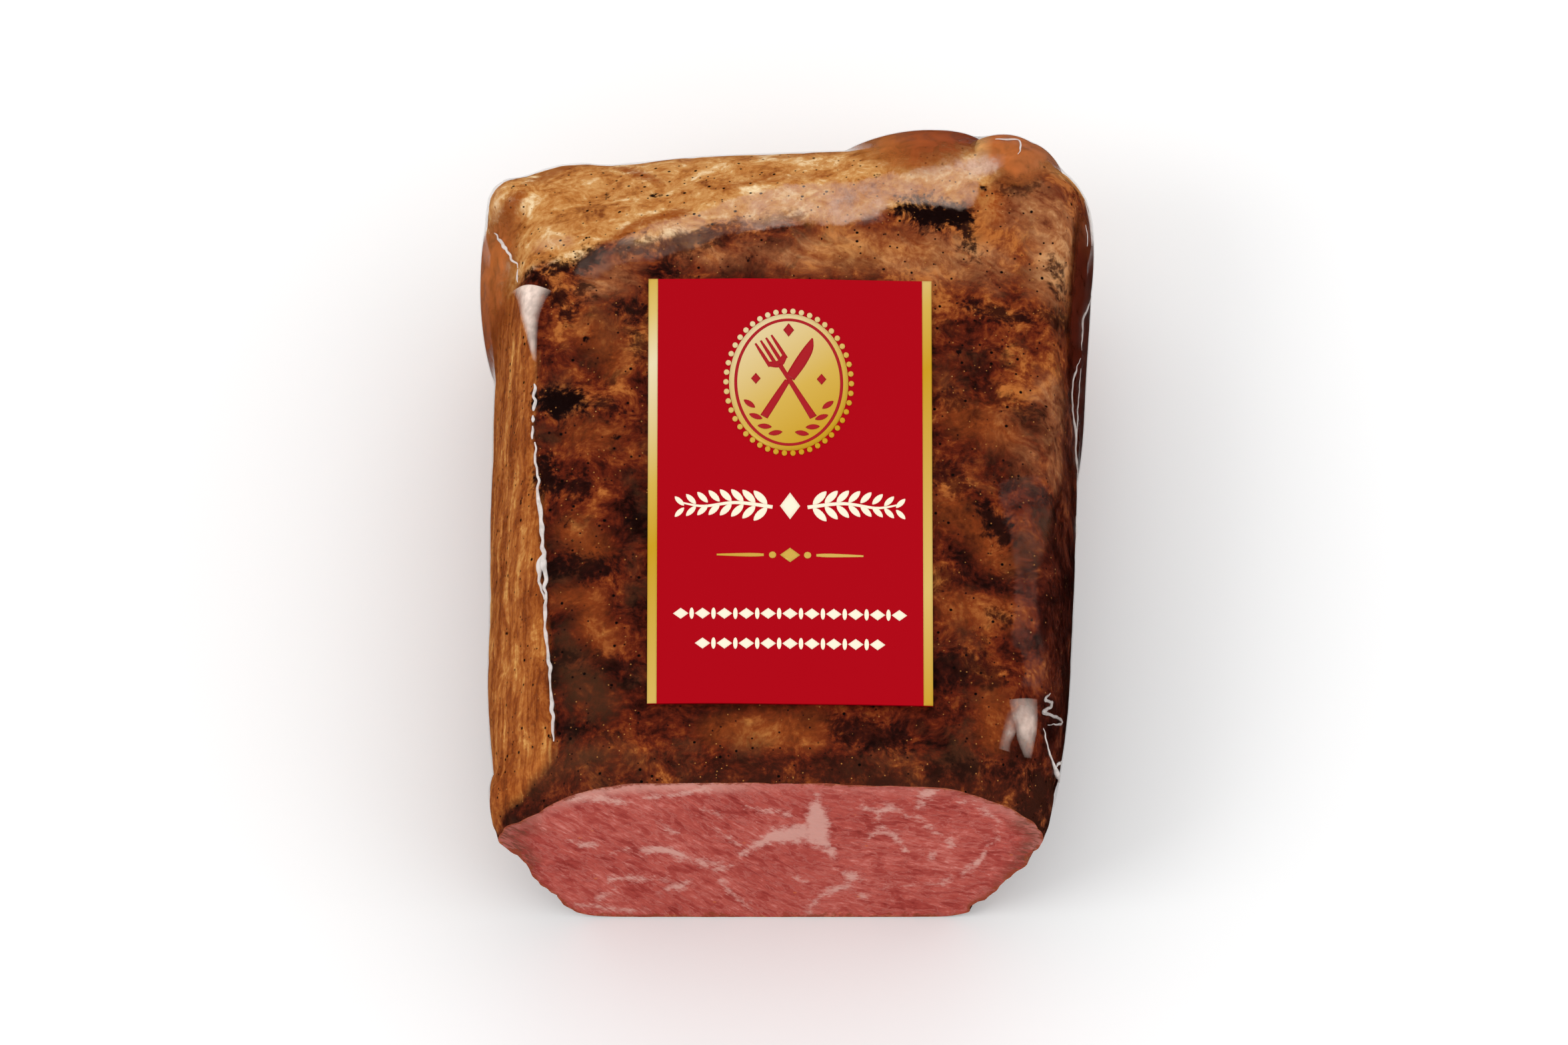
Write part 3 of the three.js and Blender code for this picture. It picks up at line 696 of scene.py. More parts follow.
# Sliced rare roast beef: pink lean in fine slanting bundles, pale fat seams and a browned rim, moist.
def cutMaterial():
    look = cutLook
    material, tree = newMaterial("sliced_rare_beef")
    place = addNode(tree, "TexCoord").outputs["Object"]
    fields = {key: addNode(tree, "Attribute", attribute_name=key).outputs["Fac"] for key in ("vein", "rim", "rightPart", "edge", "paleEdge")}
    # Bundles and hairs slant down to the right, steeply on the left and gently on the right.
    grains = {}
    for side, (slant, bundle, hair) in look["sides"].items():
        for key, sizes, detail in (("bundle", bundle, 6), ("hair", hair, 4)):
            along = addNode(tree, "Mapping", {"Rotation": (0, math.radians(slant), 0), "Scale": tuple(size * mm for size in sizes)},
                            {"Vector": place}, vector_type="TEXTURE")
            grains[key + side] = addNode(tree, "TexNoise", {"Scale": 1.0, "Detail": detail, "Roughness": 0.64, "Distortion": 0.5},
                                         {"Vector": along.outputs[0]}).outputs["Fac"]
    parts = {
        key: addNode(tree, "Mix", links={0: fields["rightPart"], 2: grains[key + "left"], 3: grains[key + "right"]}).outputs[0]
        for key in ("bundle", "hair")
    }
    broad = addNode(tree, "TexNoise", {"Scale": perMetre(14), "Detail": 2.0}, {"Vector": place})
    granule = addNode(tree, "TexNoise", {"Scale": perMetre(look["granule"]), "Detail": 4.0, "Roughness": 0.65}, {"Vector": place})
    mixed = weighted(tree, [(parts["bundle"], 0.36), (parts["hair"], 0.26), (broad.outputs["Fac"], 0.22),
                            (granule.outputs["Fac"], 0.16)])
    shade = addNode(tree, "MapRange", {"From Min": 0.34, "From Max": 0.66}, {"Value": mixed})
    lean = addNode(tree, "ValToRGB", links={"Fac": shade.outputs[0]}, stops=look["lean"]).outputs["Color"]
    # Hair-thin pale seams and dark ones lie where the hairs' noise is highest and lowest.
    light = addNode(tree, "MapRange", {"From Min": 0.62, "From Max": 0.72, "To Max": 0.42}, {"Value": parts["hair"]}).outputs[0]
    dark = addNode(tree, "MapRange", {"From Min": 0.36, "From Max": 0.26, "To Max": 0.4}, {"Value": parts["hair"]}).outputs[0]
    rough = addNode(tree, "TexNoise", {"Scale": perMetre(2.0), "Detail": 7.0, "Roughness": 0.72}, {"Vector": place})
    warp = addNode(tree, "MapRange", {"From Min": 0.3, "From Max": 0.7, "To Min": -0.8, "To Max": 0.8},
                   {"Value": rough.outputs["Fac"]}, clamp=False).outputs[0]
    combed = addNode(tree, "MapRange", {"From Min": 0.3, "From Max": 0.7, "To Min": 0.3, "To Max": -0.3},
                     {"Value": parts["hair"]}, clamp=False).outputs[0]
    edge = weighted(tree, [(fields["vein"], 1.0), (warp, 1.0), (combed, 1.0)])
    fat = addNode(tree, "MapRange", {"From Min": -0.7, "From Max": 0.42, "To Min": 0.82, "To Max": 0.0}, {"Value": edge},
                  interpolation_type="SMOOTHSTEP").outputs[0]
    rimEdge = weighted(tree, [(fields["rim"], 1.0), (warp, 0.8), (combed, 0.8)])
    rims = {
        key: addNode(tree, "MapRange", {"From Min": low, "From Max": high, "To Min": most, "To Max": 0.0}, {"Value": value},
                     interpolation_type="SMOOTHSTEP").outputs[0]
        for key, value, low, high, most in (("pale", fields["rim"], 0.5, 2.2, 0.6), ("brown", rimEdge, 0.0, 0.4, 0.85))
    }
    pale = addNode(tree, "Math", links={0: rims["pale"], 1: fields["paleEdge"]}, operation="MULTIPLY")
    shining = addNode(tree, "MapRange", {"From Min": 0.48, "From Max": 0.6}, {"Value": rough.outputs["Fac"]})
    gilt = addNode(tree, "Math", links={0: rims["brown"], 1: shining.outputs[0]}, operation="MULTIPLY")
    # Faint marbling follows the middle value of a noise that runs with the bundles.
    vein = addNode(tree, "Math", {1: 0.5}, {0: parts["bundle"]}, operation="SUBTRACT")
    vein = addNode(tree, "Math", links={0: vein.outputs[0]}, operation="ABSOLUTE")
    marble = addNode(tree, "MapRange", {"From Max": 0.03, "To Min": 0.3, "To Max": 0.0}, {"Value": vein.outputs[0]})
    # The two side edges are browner: the rim's distance is less there than the width of the browned part.
    browned = weighted(tree, [(fields["edge"], 1.0), (combed, 3.0), (warp, 0.6)])
    wrinkle = addNode(tree, "MapRange", {"From Min": 0.44, "From Max": 0.58, "To Min": 0.25}, {"Value": parts["hair"]})
    sides = addNode(tree, "MapRange", {"From Min": 0.0, "From Max": 2.2, "To Max": 0.85}, {"Value": browned},
                    interpolation_type="SMOOTHSTEP")
    sides = addNode(tree, "Math", links={0: sides.outputs[0], 1: wrinkle.outputs[0]}, operation="MULTIPLY").outputs[0]
    flecks = addNode(tree, "TexVoronoi", {"Scale": perMetre(5)}, {"Vector": place})
    fleck = addNode(tree, "MapRange", {"From Min": 0.03, "From Max": 0.07, "To Min": 0.6, "To Max": 0.0}, {"Value": flecks.outputs["Distance"]})
    colour = layered(tree, lean, [
        (look["marble"], marble.outputs[0]), (look["blood"], dark), (look["hairline"], light),
        (look["spark"], fleck.outputs[0]), (look["fat"], fat), (look["edgePale"], pale.outputs[0]), (look["edgeBrown"], sides), (look["rim"], rims["brown"]),
        (look["gilt"], gilt.outputs[0]),
    ])
    height = addNode(tree, "Math", links={0: parts["bundle"], 1: parts["hair"]}, operation="ADD")
    bump = addNode(tree, "Bump", {"Strength": 0.35, "Distance": 0.3 * mm}, {"Height": height.outputs[0]})
    surface = addNode(tree, "BsdfPrincipled", {
        "IOR": 1.4, "Specular IOR Level": 0.15, "Roughness": 0.5, "Subsurface Weight": 0.1,
        "Subsurface Radius": (1.0, 0.35, 0.25), "Subsurface Scale": 1.2 * mm,
    }, {"Base Color": colour, "Normal": bump.outputs[0]})
    addNode(tree, "OutputMaterial", links={"Surface": surface.outputs[0]})
    return material


# Rows of rays wrap the crust from the cut's outline to the far pole, and straight lines from each point of the
# outline's top to its partner underneath fill the cut face.
def meatMesh():
    look = crustLook
    origins, directions = wrapRays(0.0, look["rows"], look["endRows"], look["columns"])
    crust = reachAlong(origins, directions, crustLevel)
    columns = look["columns"]
    half = columns // 2
    wall = crust[:-1].reshape(-1, 3)
    pole = len(wall)
    ring = crust[0]
    # Column j of the cut runs from the outline's point j down to its point columns - j.
    top, under = ring[1:half], ring[:half:-1]
    part = np.linspace(0, 1, look["cutSteps"] + 1)[1:-1, None]
    face = top[:, None] * (1 - part) + under[:, None] * part
    numbers = np.arange(face.shape[0] * face.shape[1]).reshape(face.shape[:2]) + pole + 1
    numbers = np.concatenate([np.arange(1, half)[:, None], numbers, np.arange(columns - 1, half, -1)[:, None]], 1)
    quads = np.stack([numbers[:-1, :-1], numbers[1:, :-1], numbers[1:, 1:], numbers[:-1, 1:]], -1).reshape(-1, 4)
    ends = [
        np.stack([np.full(numbers.shape[1] - 1, corner), line[:-1], line[1:]], -1)
        for corner, line in ((0, numbers[0]), (half, numbers[-1][::-1]))
    ]
    points = np.concatenate([wall, [crust[-1].mean(0)], face.reshape(-1, 3)])
    wallFaces = [gridFaces(len(crust) - 1, columns), fanFaces(np.arange(columns) + pole - columns, pole)]
    # The wall is turned to point outwards, and the cut to look along -y.
    a, b, c = (points[wallFaces[0][:, k]] for k in range(3))
    middle = np.array([0, block["length"] / 2, block["axisHeight"]])
    if (np.cross(b - a, c - a) * (a - middle)).sum() < 0:
        wallFaces = [group[:, ::-1] for group in wallFaces]
    cutFaces = []
    for group in (quads, *ends):
        a, b, c = (points[group[len(group) // 2, k]] for k in range(3))
        cutFaces.append(group if np.cross(b - a, c - a)[1] < 0 else group[:, ::-1])
    return points, wallFaces, cutFaces, pole + 1, ring


def meat():
    points, wallFaces, cutFaces, wallCount, ring = meatMesh()
    x, y, z = points.T
    onCut = np.arange(len(points)) >= wallCount
    normal = surfaceNormal(points)
    attributes = {}
    top = z > block["axisHeight"]
    for key, shapes in (("char", charShapes), ("warm", warmShapes), ("tan", tanShapes), ("olive", oliveShapes), ("rust", rustShapes)):
        field, amount = nearestShape(x, y, shapes)
        attributes[key + "Field"] = np.where(top, field, 20)
        attributes[key + "Amount"] = amount
    field = np.min([np.hypot(x - sx, y - sy) - radius for sx, sy, radius in specks], axis=0)
    attributes["speckField"] = np.where(top, field, 20)
    ridge, left, right = (np.interp(at, *zip(*line)) for at, line in ((x, ridgeLine), (y, leftCrease), (y, rightCrease)))
    wavy = 2.0 * (smoothNoise(points, 3.0, seed=5) - 0.5)
    attributes["slope"] = np.clip((y - ridge + wavy) / 1.6 + 0.5, 0, 1)
    flank = np.clip((left - x + 0.4 * wavy) / np.interp(y, [5, 10], [3.5, 0.8]) + 0.5, 0, 1)
    attributes["flank"] = flank * np.interp(y, [95, 101], [1, 0])
    attributes["slope"] = np.maximum(attributes["slope"], flank * np.interp(y, [95, 101], [0, 1]))
    # Low down, both give way to the plain brown crust.
    for key in ("flank", "slope"):
        attributes[key] = attributes[key] * np.clip((z + 2 * wavy - 5) / 9, 0, 1)
    # Right of the right crease the crust turns dark red brown: partly wet with jus, partly painted shade.
    attributes["wetShadedSide"] = np.clip((x - right + 0.4 * wavy) / 0.8 + 0.5, 0, 1) * np.interp(y, [94, 99], [0.9, 0])
    # The crust is lighter towards the far end, and darker on the left and at the cut's right shoulder.
    attributes["tone"] = np.interp(y, [2, 10, 16, 32, 60, 84, 92], [0.0, -0.012, -0.026, -0.024, 0.007, 0.034, 0.044])
    attributes["tone"] -= np.where(x < 0, 0.012, 0) + 0.04 * np.clip((x - 30) / 6, 0, 1) * np.clip((10 - y) / 4, 0, 1)
    # The far end's own face is browned again, where the surface looks more along y than up.
    attributes["end"] = np.clip((normal[:, 1] + 0.12 * wavy - 0.7) / 0.3, 0, 1) * 0.8
    # Near the cut the crust darkens, partly singed and partly painted shade, strongest and widest on the right.
    darkest = np.interp(x, [-42, -30, -22, -6, 30, 38], [0.5, 0.5, 0.6, 0.95, 0.95, 1.6])
    reached = np.interp(x, [-42, -30, 28, 37], [3.4, 4.6, 4.6, 8.5])
    attributes["nearCut"] = np.clip(1.3 - (y + 1.5 * wavy) / reached, 0, 1) * darkest
    # On the cut: fat as the least distance to any seam, in millimetres as seen, and the distance from the rim.
    vein, rim = np.full(len(points), 5.0), np.zeros(len(points))
    seenX, seenZ = x[onCut], z[onCut] * cutLook["seenHeight"]
    vein[onCut] = np.min([
        strokeField(seenX, seenZ, [(sx, sz * cutLook["seenHeight"], width) for sx, sz, width in stroke])
        for stroke in fatShapes
    ], axis=0)
    outline = [(px, pz * cutLook["seenHeight"], 0) for px, _, pz in ring[::2]]
    rim[onCut] = strokeField(seenX, seenZ, outline + outline[:1])
    attributes["vein"], attributes["rim"] = vein, rim
    attributes["rightPart"] = np.clip((x + 2) / 10, 0, 1)
    attributes["paleEdge"] = np.interp(x, [-34, -30, -10, -2, 26, 34], [0.3, 1.0, 0.9, 0.15, 0.15, 0.5]) * (z > 24)
    reach = np.where(x < 0, np.interp(z, [1, 4, 14, 20, 30, 37], [0.2, 0.8, 1.2, 3.0, 4.2, 0.6]),
                     np.interp(z, [1, 4, 12, 22, 32, 38], [0.6, 1.6, 1.8, 3.2, 3.8, 0.4]))
    attributes["edge"] = reach * np.clip((np.abs(x) - 20) / 9, 0, 1) - rim
    # Muscle bundles stand a little above each other on the slice, which only ever dips inwards.
    dip = 0.28 * smoothNoise(points * np.array([1, 1, 0.6]), 4.5, seed=11) * np.clip(rim / 0.6, 0, 1)
    points[:, 1] += np.where(onCut, dip, 0)
    kinds = np.concatenate([np.full(sum(map(len, wallFaces)), 0), np.full(sum(map(len, cutFaces)), 1)])
    piece = onePiece("roast_beef_meat", points, wallFaces + cutFaces, [crustMaterial(), cutMaterial()],
                     attributes=attributes, faceMaterials=kinds, crease=50)
    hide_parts("roast_beef")
    print("meat:", len(points), "points")


meat()

# Shrink film: clear polyethylene, drawn tight by heat, so it is glossy, and milky where it has lifted; along the far
# ridge the milky white is also a painted highlight.
filmLook = {
    "thickness": 0.12, "rows": 104, "endRows": 46, "columns": 300,
    "roughness": 0.12, "reflect": (0.025, 0.1), "hazeAndSheen": "#e7c5b2",
}
# Milky areas on the plan: where the film has lifted off the ridge and beside the right crease, the ridge's band being
# also a painted highlight,
hazeAndSheenShapes = [
    (0.06, [(-30.9, 86.3), (-27.0, 89.8), (-19.0, 90.4), (-13.0, 92.2), (-9.0, 93.2), (-5.0, 94.0), (-5.0, 91.6), (-8.2, 91.3),
            (-12.7, 88.8), (-16.6, 87.6), (-19.2, 86.4), (-24.4, 86.2), (-28.8, 83.3), (-31.4, 84.4)]),
    (0.15, [(-25.0, 89.8), (-20.1, 93.2), (-13.4, 94.9), (-8.2, 98.0), (-4.0, 99.0), (-4.0, 93.4), (-9.0, 93.0), (-13.0, 91.8),
            (-19.0, 90.0)]),
    (0.22, [(-7.0, 98.4), (-2.6, 99.8), (1.5, 100.7), (5.6, 100.4), (10.5, 100.5), (14.9, 101.7), (19.2, 101.9), (23.6, 102.8),
            (27.5, 104.5), (30.2, 105.0), (32.7, 103.6), (32.1, 102.3), (29.6, 101.2), (29.1, 98.4), (27.9, 96.2),
            (26.4, 95.4), (23.3, 96.1), (20.3, 96.4), (17.1, 96.6), (15.4, 95.9), (14.3, 94.4), (11.0, 93.2), (7.2, 92.4),
            (3.6, 93.0), (0.6, 92.4), (-2.6, 91.7), (-7.0, 91.4)]),
    (0.022, [(31.6, 50.0), (33.4, 42.2), (34.4, 36.2), (34.2, 29.5), (33.8, 23.4), (35.5, 21.9), (35.4, 17.4),
            (37.6, 17.0), (38.6, 20.6), (38.0, 26.6), (37.3, 33.0), (38.9, 40.7), (40.3, 49.7), (37.4, 51.5)]),
]
# and painted highlight spots over those.
sheenSpots = [
    (0.24, [(24.3, 103.3), (27.5, 104.4), (30.2, 105.0), (32.7, 103.6), (32.1, 102.3), (29.6, 101.9), (26.1, 102.2)]),
    (0.12, [(6.8, 95.8), (8.3, 98.2), (10.8, 99.7), (13.3, 98.8), (15.1, 96.3), (14.3, 94.0), (11.3, 93.0), (8.6, 93.4)]),
    (0.12, [(-43.4, 105.6, 0.3), (-43.4, 100.0, 0.4)]),
    (0.1, [(-36.4, 90.4, 1.0), (-33.0, 90.8, 1.2)]),
]


# Clear shrink film: see-through, with a mirror gloss that grows towards grazing, and a milky scatter that along the
# ridge is also a painted highlight.
def filmMaterial():
    look = filmLook
    material, tree = newMaterial("clear_shrink_film")
    place = addNode(tree, "TexCoord").outputs["Object"]
    noise = addNode(tree, "TexNoise", {"Scale": perMetre(2.4), "Detail": 5.0, "Roughness": 0.65}, {"Vector": place})
    warp = addNode(tree, "MapRange", {"From Min": 0.3, "From Max": 0.7, "To Min": -0.5, "To Max": 0.5},
                   {"Value": noise.outputs["Fac"]}, clamp=False)
    shares = []
    for key, soft in (("hazeAndSheen", 0.45), ("spot", 1.3)):
        field = addNode(tree, "Attribute", attribute_name=key + "Field").outputs["Fac"]
        amount = addNode(tree, "Attribute", attribute_name=key + "Amount").outputs["Fac"]
        edge = addNode(tree, "Math", links={0: field, 1: warp.outputs[0]}, operation="ADD")
        inside = addNode(tree, "MapRange", {"From Min": -soft, "From Max": soft, "To Min": 1.0, "To Max": 0.0},
                         {"Value": edge.outputs[0]}, interpolation_type="SMOOTHSTEP")
        shares.append(addNode(tree, "Math", links={0: inside.outputs[0], 1: amount}, operation="MULTIPLY").outputs[0])
    patchy = addNode(tree, "TexNoise", {"Scale": perMetre(3), "Detail": 7.0, "Roughness": 0.72}, {"Vector": place})
    uneven = addNode(tree, "MapRange", {"From Min": 0.36, "From Max": 0.64, "To Min": 0.45, "To Max": 1.5}, {"Value": patchy.outputs["Fac"]})
    both = addNode(tree, "Math", links={0: shares[0], 1: shares[1]}, operation="ADD")
    hazeAndSheen = addNode(tree, "Math", links={0: both.outputs[0], 1: uneven.outputs[0]}, operation="MULTIPLY", use_clamp=True)
    ripple = addNode(tree, "TexNoise", {"Scale": perMetre(6), "Detail": 2.0}, {"Vector": place})
    bump = addNode(tree, "Bump", {"Strength": 0.25, "Distance": 0.5 * mm}, {"Height": ripple.outputs["Fac"]})
    facing = addNode(tree, "LayerWeight", {"Blend": 0.5}, {"Normal": bump.outputs[0]})
    power = addNode(tree, "Math", {1: 5.0}, {0: facing.outputs["Facing"]}, operation="POWER")
    shine = addNode(tree, "MapRange", {"To Min": look["reflect"][0], "To Max": look["reflect"][1]}, {"Value": power.outputs[0]})
    clear = addNode(tree, "BsdfTransparent")
    gloss = addNode(tree, "BsdfGlossy", {"Roughness": look["roughness"]}, {"Normal": bump.outputs[0]})
    milkAndSheen = addNode(tree, "BsdfPrincipled", {"Base Color": hexColour(look["hazeAndSheen"]), "Roughness": 0.4, "Specular IOR Level": 0.2})
    skin = addNode(tree, "MixShader", links={0: shine.outputs[0], 1: clear.outputs[0], 2: gloss.outputs[0]})
    whole = addNode(tree, "MixShader", links={0: hazeAndSheen.outputs[0], 1: skin.outputs[0], 2: milkAndSheen.outputs[0]})
    addNode(tree, "OutputMaterial", links={"Surface": whole.outputs[0]})
    return material


# Two grids at two levels off the same lump, both raised over the jus.
def film():
    look = filmLook
    origins, directions = wrapRays(block["filmEdge"], look["rows"], look["endRows"], look["columns"])
    outer = reachAlong(origins, directions, skinLevel)
    inner = reachAlong(origins, directions, lambda points: skinLevel(points) - look["thickness"])
    outer[..., 2] = np.maximum(outer[..., 2], 0)
    points, faces = shellMesh(outer, inner)
    # Only the outer skin's upper side is milky and carries the painted highlights.
    hidden = (points[:, 2] < block["axisHeight"]) | (np.arange(len(points)) >= (len(points) - 2) // 2)
    attributes = {}
    for key, shapes in (("hazeAndSheen", hazeAndSheenShapes), ("spot", sheenSpots)):
        field, amount = nearestShape(points[:, 0], points[:, 1], shapes)
        attributes[key + "Field"], attributes[key + "Amount"] = np.where(hidden, 9, field), amount
    piece = onePiece("film_sleeve", points, faces, [filmMaterial()], crease=60, attributes=attributes)
    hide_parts("shrink_film")
    print("film:", len(points), "points")


film()

# Pleats: where the film is pinched double it makes a narrow raised fold, whose white colour is partly creased film and
# partly a painted highlight.
# Each route is (distance from the cut, degrees round the block from its right waist, width), in mm.
pleatRoutes = {
    "left_top": [(97.3, 166.2, 0.1), (95.6, 164.2, 0.4), (94.2, 162.6, 0.55), (91.3, 160.1, 0.4), (88.4, 157.7, 0.12)],
    "left_joint": [(88.2, 157.7, 0.14), (86.9, 157.9, 0.3), (85.9, 157.4, 0.14)],
    "left_dash_a": [(66.8, 150.5, 0.2), (65.2, 150.6, 0.6), (63.0, 151.0, 0.5), (62.4, 151.1, 0.2)],
    "left_dash_b": [(61.7, 151.2, 0.2), (61.0, 151.2, 0.5), (60.6, 151.3, 0.2)],
    "left_dash_c": [(60.0, 151.4, 0.2), (59.2, 151.4, 0.45), (57.9, 151.3, 0.2)],
    "left_long": [(57.2, 150.8, 0.2), (55.0, 150.7, 0.5), (52.7, 150.5, 0.42), (49.0, 150.3, 0.6), (45.0, 150.0, 0.75),
                  (41.0, 149.7, 0.7), (38.6, 149.6, 0.6), (37.4, 149.6, 0.5)],
    "eye_left": [(38.2, 149.8, 0.4), (36.6, 150.4, 1.0), (35.4, 150.8, 0.6), (34.2, 150.8, 0.45), (32.8, 150.2, 0.4), (31.0, 149.6, 0.3)],
    "eye_right": [(38.2, 149.5, 0.5), (36.6, 149.3, 1.0), (35.4, 149.1, 0.7), (34.2, 149.0, 0.5), (32.8, 149.3, 0.55), (31.0, 149.3, 0.4)],
    "left_low": [(31.6, 149.4, 0.3), (28.6, 149.1, 0.5), (26.8, 149.2, 0.3), (25.1, 149.3, 0.55), (23.0, 149.2, 0.35), (20.0, 149.0, 0.55),
                 (17.0, 149.0, 0.4), (15.0, 149.1, 0.6), (12.8, 149.3, 0.5), (10.9, 149.5, 0.5), (8.4, 150.2, 0.3)],
    "right_a": [(101.6, 16.0, 0.1), (100.3, 14.6, 0.34), (98.3, 13.3, 0.4), (95.4, 12.2, 0.12)],
    "right_b": [(96.9, 16.9, 0.1), (95.4, 16.4, 0.2), (93.7, 16.0, 0.1)],
    "right_c": [(88.9, 7.4, 0.1), (85.0, 10.9, 0.34), (83.0, 12.1, 0.42), (80.1, 11.6, 0.3), (78.4, 11.4, 0.1)],
    "right_d": [(76.9, 12.0, 0.1), (73.6, 14.6, 0.26), (70.0, 15.9, 0.24), (67.5, 14.4, 0.3), (64.6, 11.5, 0.4), (61.6, 9.4, 0.46), (59.9, 4.6, 0.16)],
    "right_e": [(75.4, 11.2, 0.1), (70.4, 11.7, 0.22), (66.6, 11.3, 0.24), (63.4, 9.8, 0.1)],
    "right_f": [(52.8, 5.6, 0.1), (51.0, 5.0, 0.4), (48.9, 4.4, 0.1)],
    "zigzag": [(18.2, 21.6, 0.1), (16.6, 23.0, 0.4), (17.2, 19.9, 0.34), (15.6, 21.4, 0.5), (14.8, 22.0, 0.6), (16.6, 13.4, 0.4),
               (16.3, 12.2, 0.4), (13.5, 20.3, 0.1)],
    "seam": [(12.6, 21.5, 0.12), (10.7, 18.6, 0.26), (9.6, 15.5, 0.4), (8.9, 11.8, 0.75), (9.0, 8.2, 0.6), (9.3, 4.7, 0.2)],
    "seam_ear": [(9.4, 12.4, 0.2), (10.6, 9.8, 0.5), (11.7, 7.8, 0.16)],
    "corner": [(108.0, 33.2, 0.14), (107.7, 32.2, 0.3), (107.8, 30.8, 0.36), (106.2, 31.4, 0.32), (104.8, 32.1, 0.14)],
}
# How white the fainter ones are, their painted highlight included.
faintPleats = {"zigzag": 0.5, "right_c": 0.7, "right_d": 0.7, "right_e": 0.5, "left_low": 0.85, "corner": 0.9}
pleatLook = {"rise": 0.5, "sides": 10, "colour": "#ece2dd", "opacity": 0.8, "wander": (1.1, 0.9)}


# A smooth line through rows of numbers: Catmull-Rom pieces, with the end rows doubled.
def smoothRoute(rows, steps):
    rows = np.array(rows, float)
    padded = np.concatenate([rows[:1], rows, rows[-1:]])
    at = np.linspace(0, len(rows) - 1 - 1e-9, steps)
    k, t = at.astype(int), (at % 1)[:, None]
    a, b, c, d = padded[k], padded[k + 1], padded[k + 2], padded[k + 3]
    return 0.5 * (2 * b + (c - a) * t + (2 * a - 5 * b + 4 * c - d) * t ** 2 + (3 * b - a - 3 * c + d) * t ** 3)


# A low lens-shaped section carried along the film: side times cos and outward times sin of an angle. The line
# wanders by some degrees and its width swells and shrinks with a noise.
def pleatTube(route):
    look = pleatLook
    line = smoothRoute(route, 14 * len(route))
    size, degrees = look["wander"]
    seeds = np.stack([line[:, 0], line[:, 1], 0 * line[:, 0]], -1)
    angle = np.radians(line[:, 1] + degrees * (smoothNoise(seeds, size, seed=3) - 0.5))
    width = np.maximum(line[:, 2], 0.05) * (0.6 + 0.8 * smoothNoise(seeds, 1.7, seed=9))
    origins = np.stack([0 * angle, line[:, 0], block["axisHeight"] + 0 * angle], -1)
    directions = np.stack([np.cos(angle), 0 * angle, np.sin(angle)], -1)
    centre = reachAlong(origins, directions, skinLevel)
    normal = surfaceNormal(centre)
    side = np.cross(np.gradient(centre, axis=0), normal)
    side /= np.linalg.norm(side, axis=1, keepdims=True)
    around = np.linspace(0, 2 * np.pi, look["sides"], endpoint=False)
    out = np.sin(around)[:, None]
    out = np.where(out > 0, np.abs(out) ** 1.5, -0.4) * 2 * look["rise"]
    return tubeMesh(centre[:, None] + width[:, None, None] / 2 * (np.cos(around)[:, None] * side[:, None] + out * normal[:, None]))


# Doubled shrink film with a sharp gloss, white partly from creasing and partly as a painted highlight.
def pleatMaterial():
    look = pleatLook
    material, tree = newMaterial("creased_film_and_painted_highlight")
    place = addNode(tree, "TexCoord").outputs["Object"]
    noise = addNode(tree, "TexNoise", {"Scale": perMetre(1.3), "Detail": 3.0}, {"Vector": place})
    white = addNode(tree, "Attribute", attribute_name="white").outputs["Fac"]
    uneven = addNode(tree, "MapRange", {"From Min": 0.35, "From Max": 0.6, "To Min": 0.5, "To Max": look["opacity"]},
                     {"Value": noise.outputs["Fac"]})
    alpha = addNode(tree, "Math", links={0: white, 1: uneven.outputs[0]}, operation="MULTIPLY")
    surface = addNode(tree, "BsdfPrincipled", {"Base Color": hexColour(look["colour"]), "Roughness": 0.2, "IOR": 1.5},
                      {"Alpha": alpha.outputs[0]})
    addNode(tree, "OutputMaterial", links={"Surface": surface.outputs[0]})
    return material


def pleats():
    tubes = [pleatTube(route) for route in pleatRoutes.values()]
    white = [np.full(len(tube[0]), faintPleats.get(name, 1.0)) for name, tube in zip(pleatRoutes, tubes)]
    points, faces = joined(tubes)
    piece = onePiece("film_pleats", points, faces, [pleatMaterial()], attributes={"white": np.concatenate(white)})
    print("pleats:", len(pleatRoutes))


pleats()

# Webs: where the film spans a hollow it stands off the meat, and its whitish colour is a painted highlight and glare.
# Each is a thin sheet between a left and a right edge, as x and y on the plan, with how white it is at even steps from
# the left to the right and from its far end to its near one.
webs = {
    "left_corner": ([(-40.8, 85.4), (-40.0, 82.6), (-39.4, 78.9), (-38.6, 75.4), (-37.6, 70.8)],
                    [(-34.6, 81.6), (-35.7, 80.0), (-36.6, 77.2), (-36.8, 74.4), (-36.9, 70.0)],
                    (0.0, 0.5, 0.9, 1.0, 0.8, 0.55, 0.25, 0.0), (0.95, 1.0, 1.0, 0.88, 0.78, 0.72, 0.64, 0.5, 0.0)),
    "right_low_a": ([(33.1, 13.2), (32.5, 11.1), (32.2, 9.5), (31.8, 8.2), (31.6, 7.2)],
                    [(34.6, 13.6), (34.5, 11.6), (34.4, 10.2), (33.6, 8.4), (33.5, 7.2)],
                    (0.0, 0.5, 1.0, 0.8, 0.0), (0.0, 0.12, 0.22, 0.34, 0.2, 0.14, 0.1)),
    "right_low_b": ([(33.3, 14.7), (33.7, 12.5), (34.3, 10.8), (34.5, 9.4), (35.5, 7.3)],
                    [(37.5, 16.0), (37.6, 14.0), (37.5, 12.0), (37.2, 10.2), (36.7, 7.7)],
                    (0.1, 0.42, 0.62, 0.58, 0.5, 0.1), (0.3, 0.55, 0.9, 1.0, 0.8, 0.45, 0.1)),
}
webLook = {"steps": (40, 21), "lift": 0.06, "thickness": 0.05, "colour": "#fae1d2"}


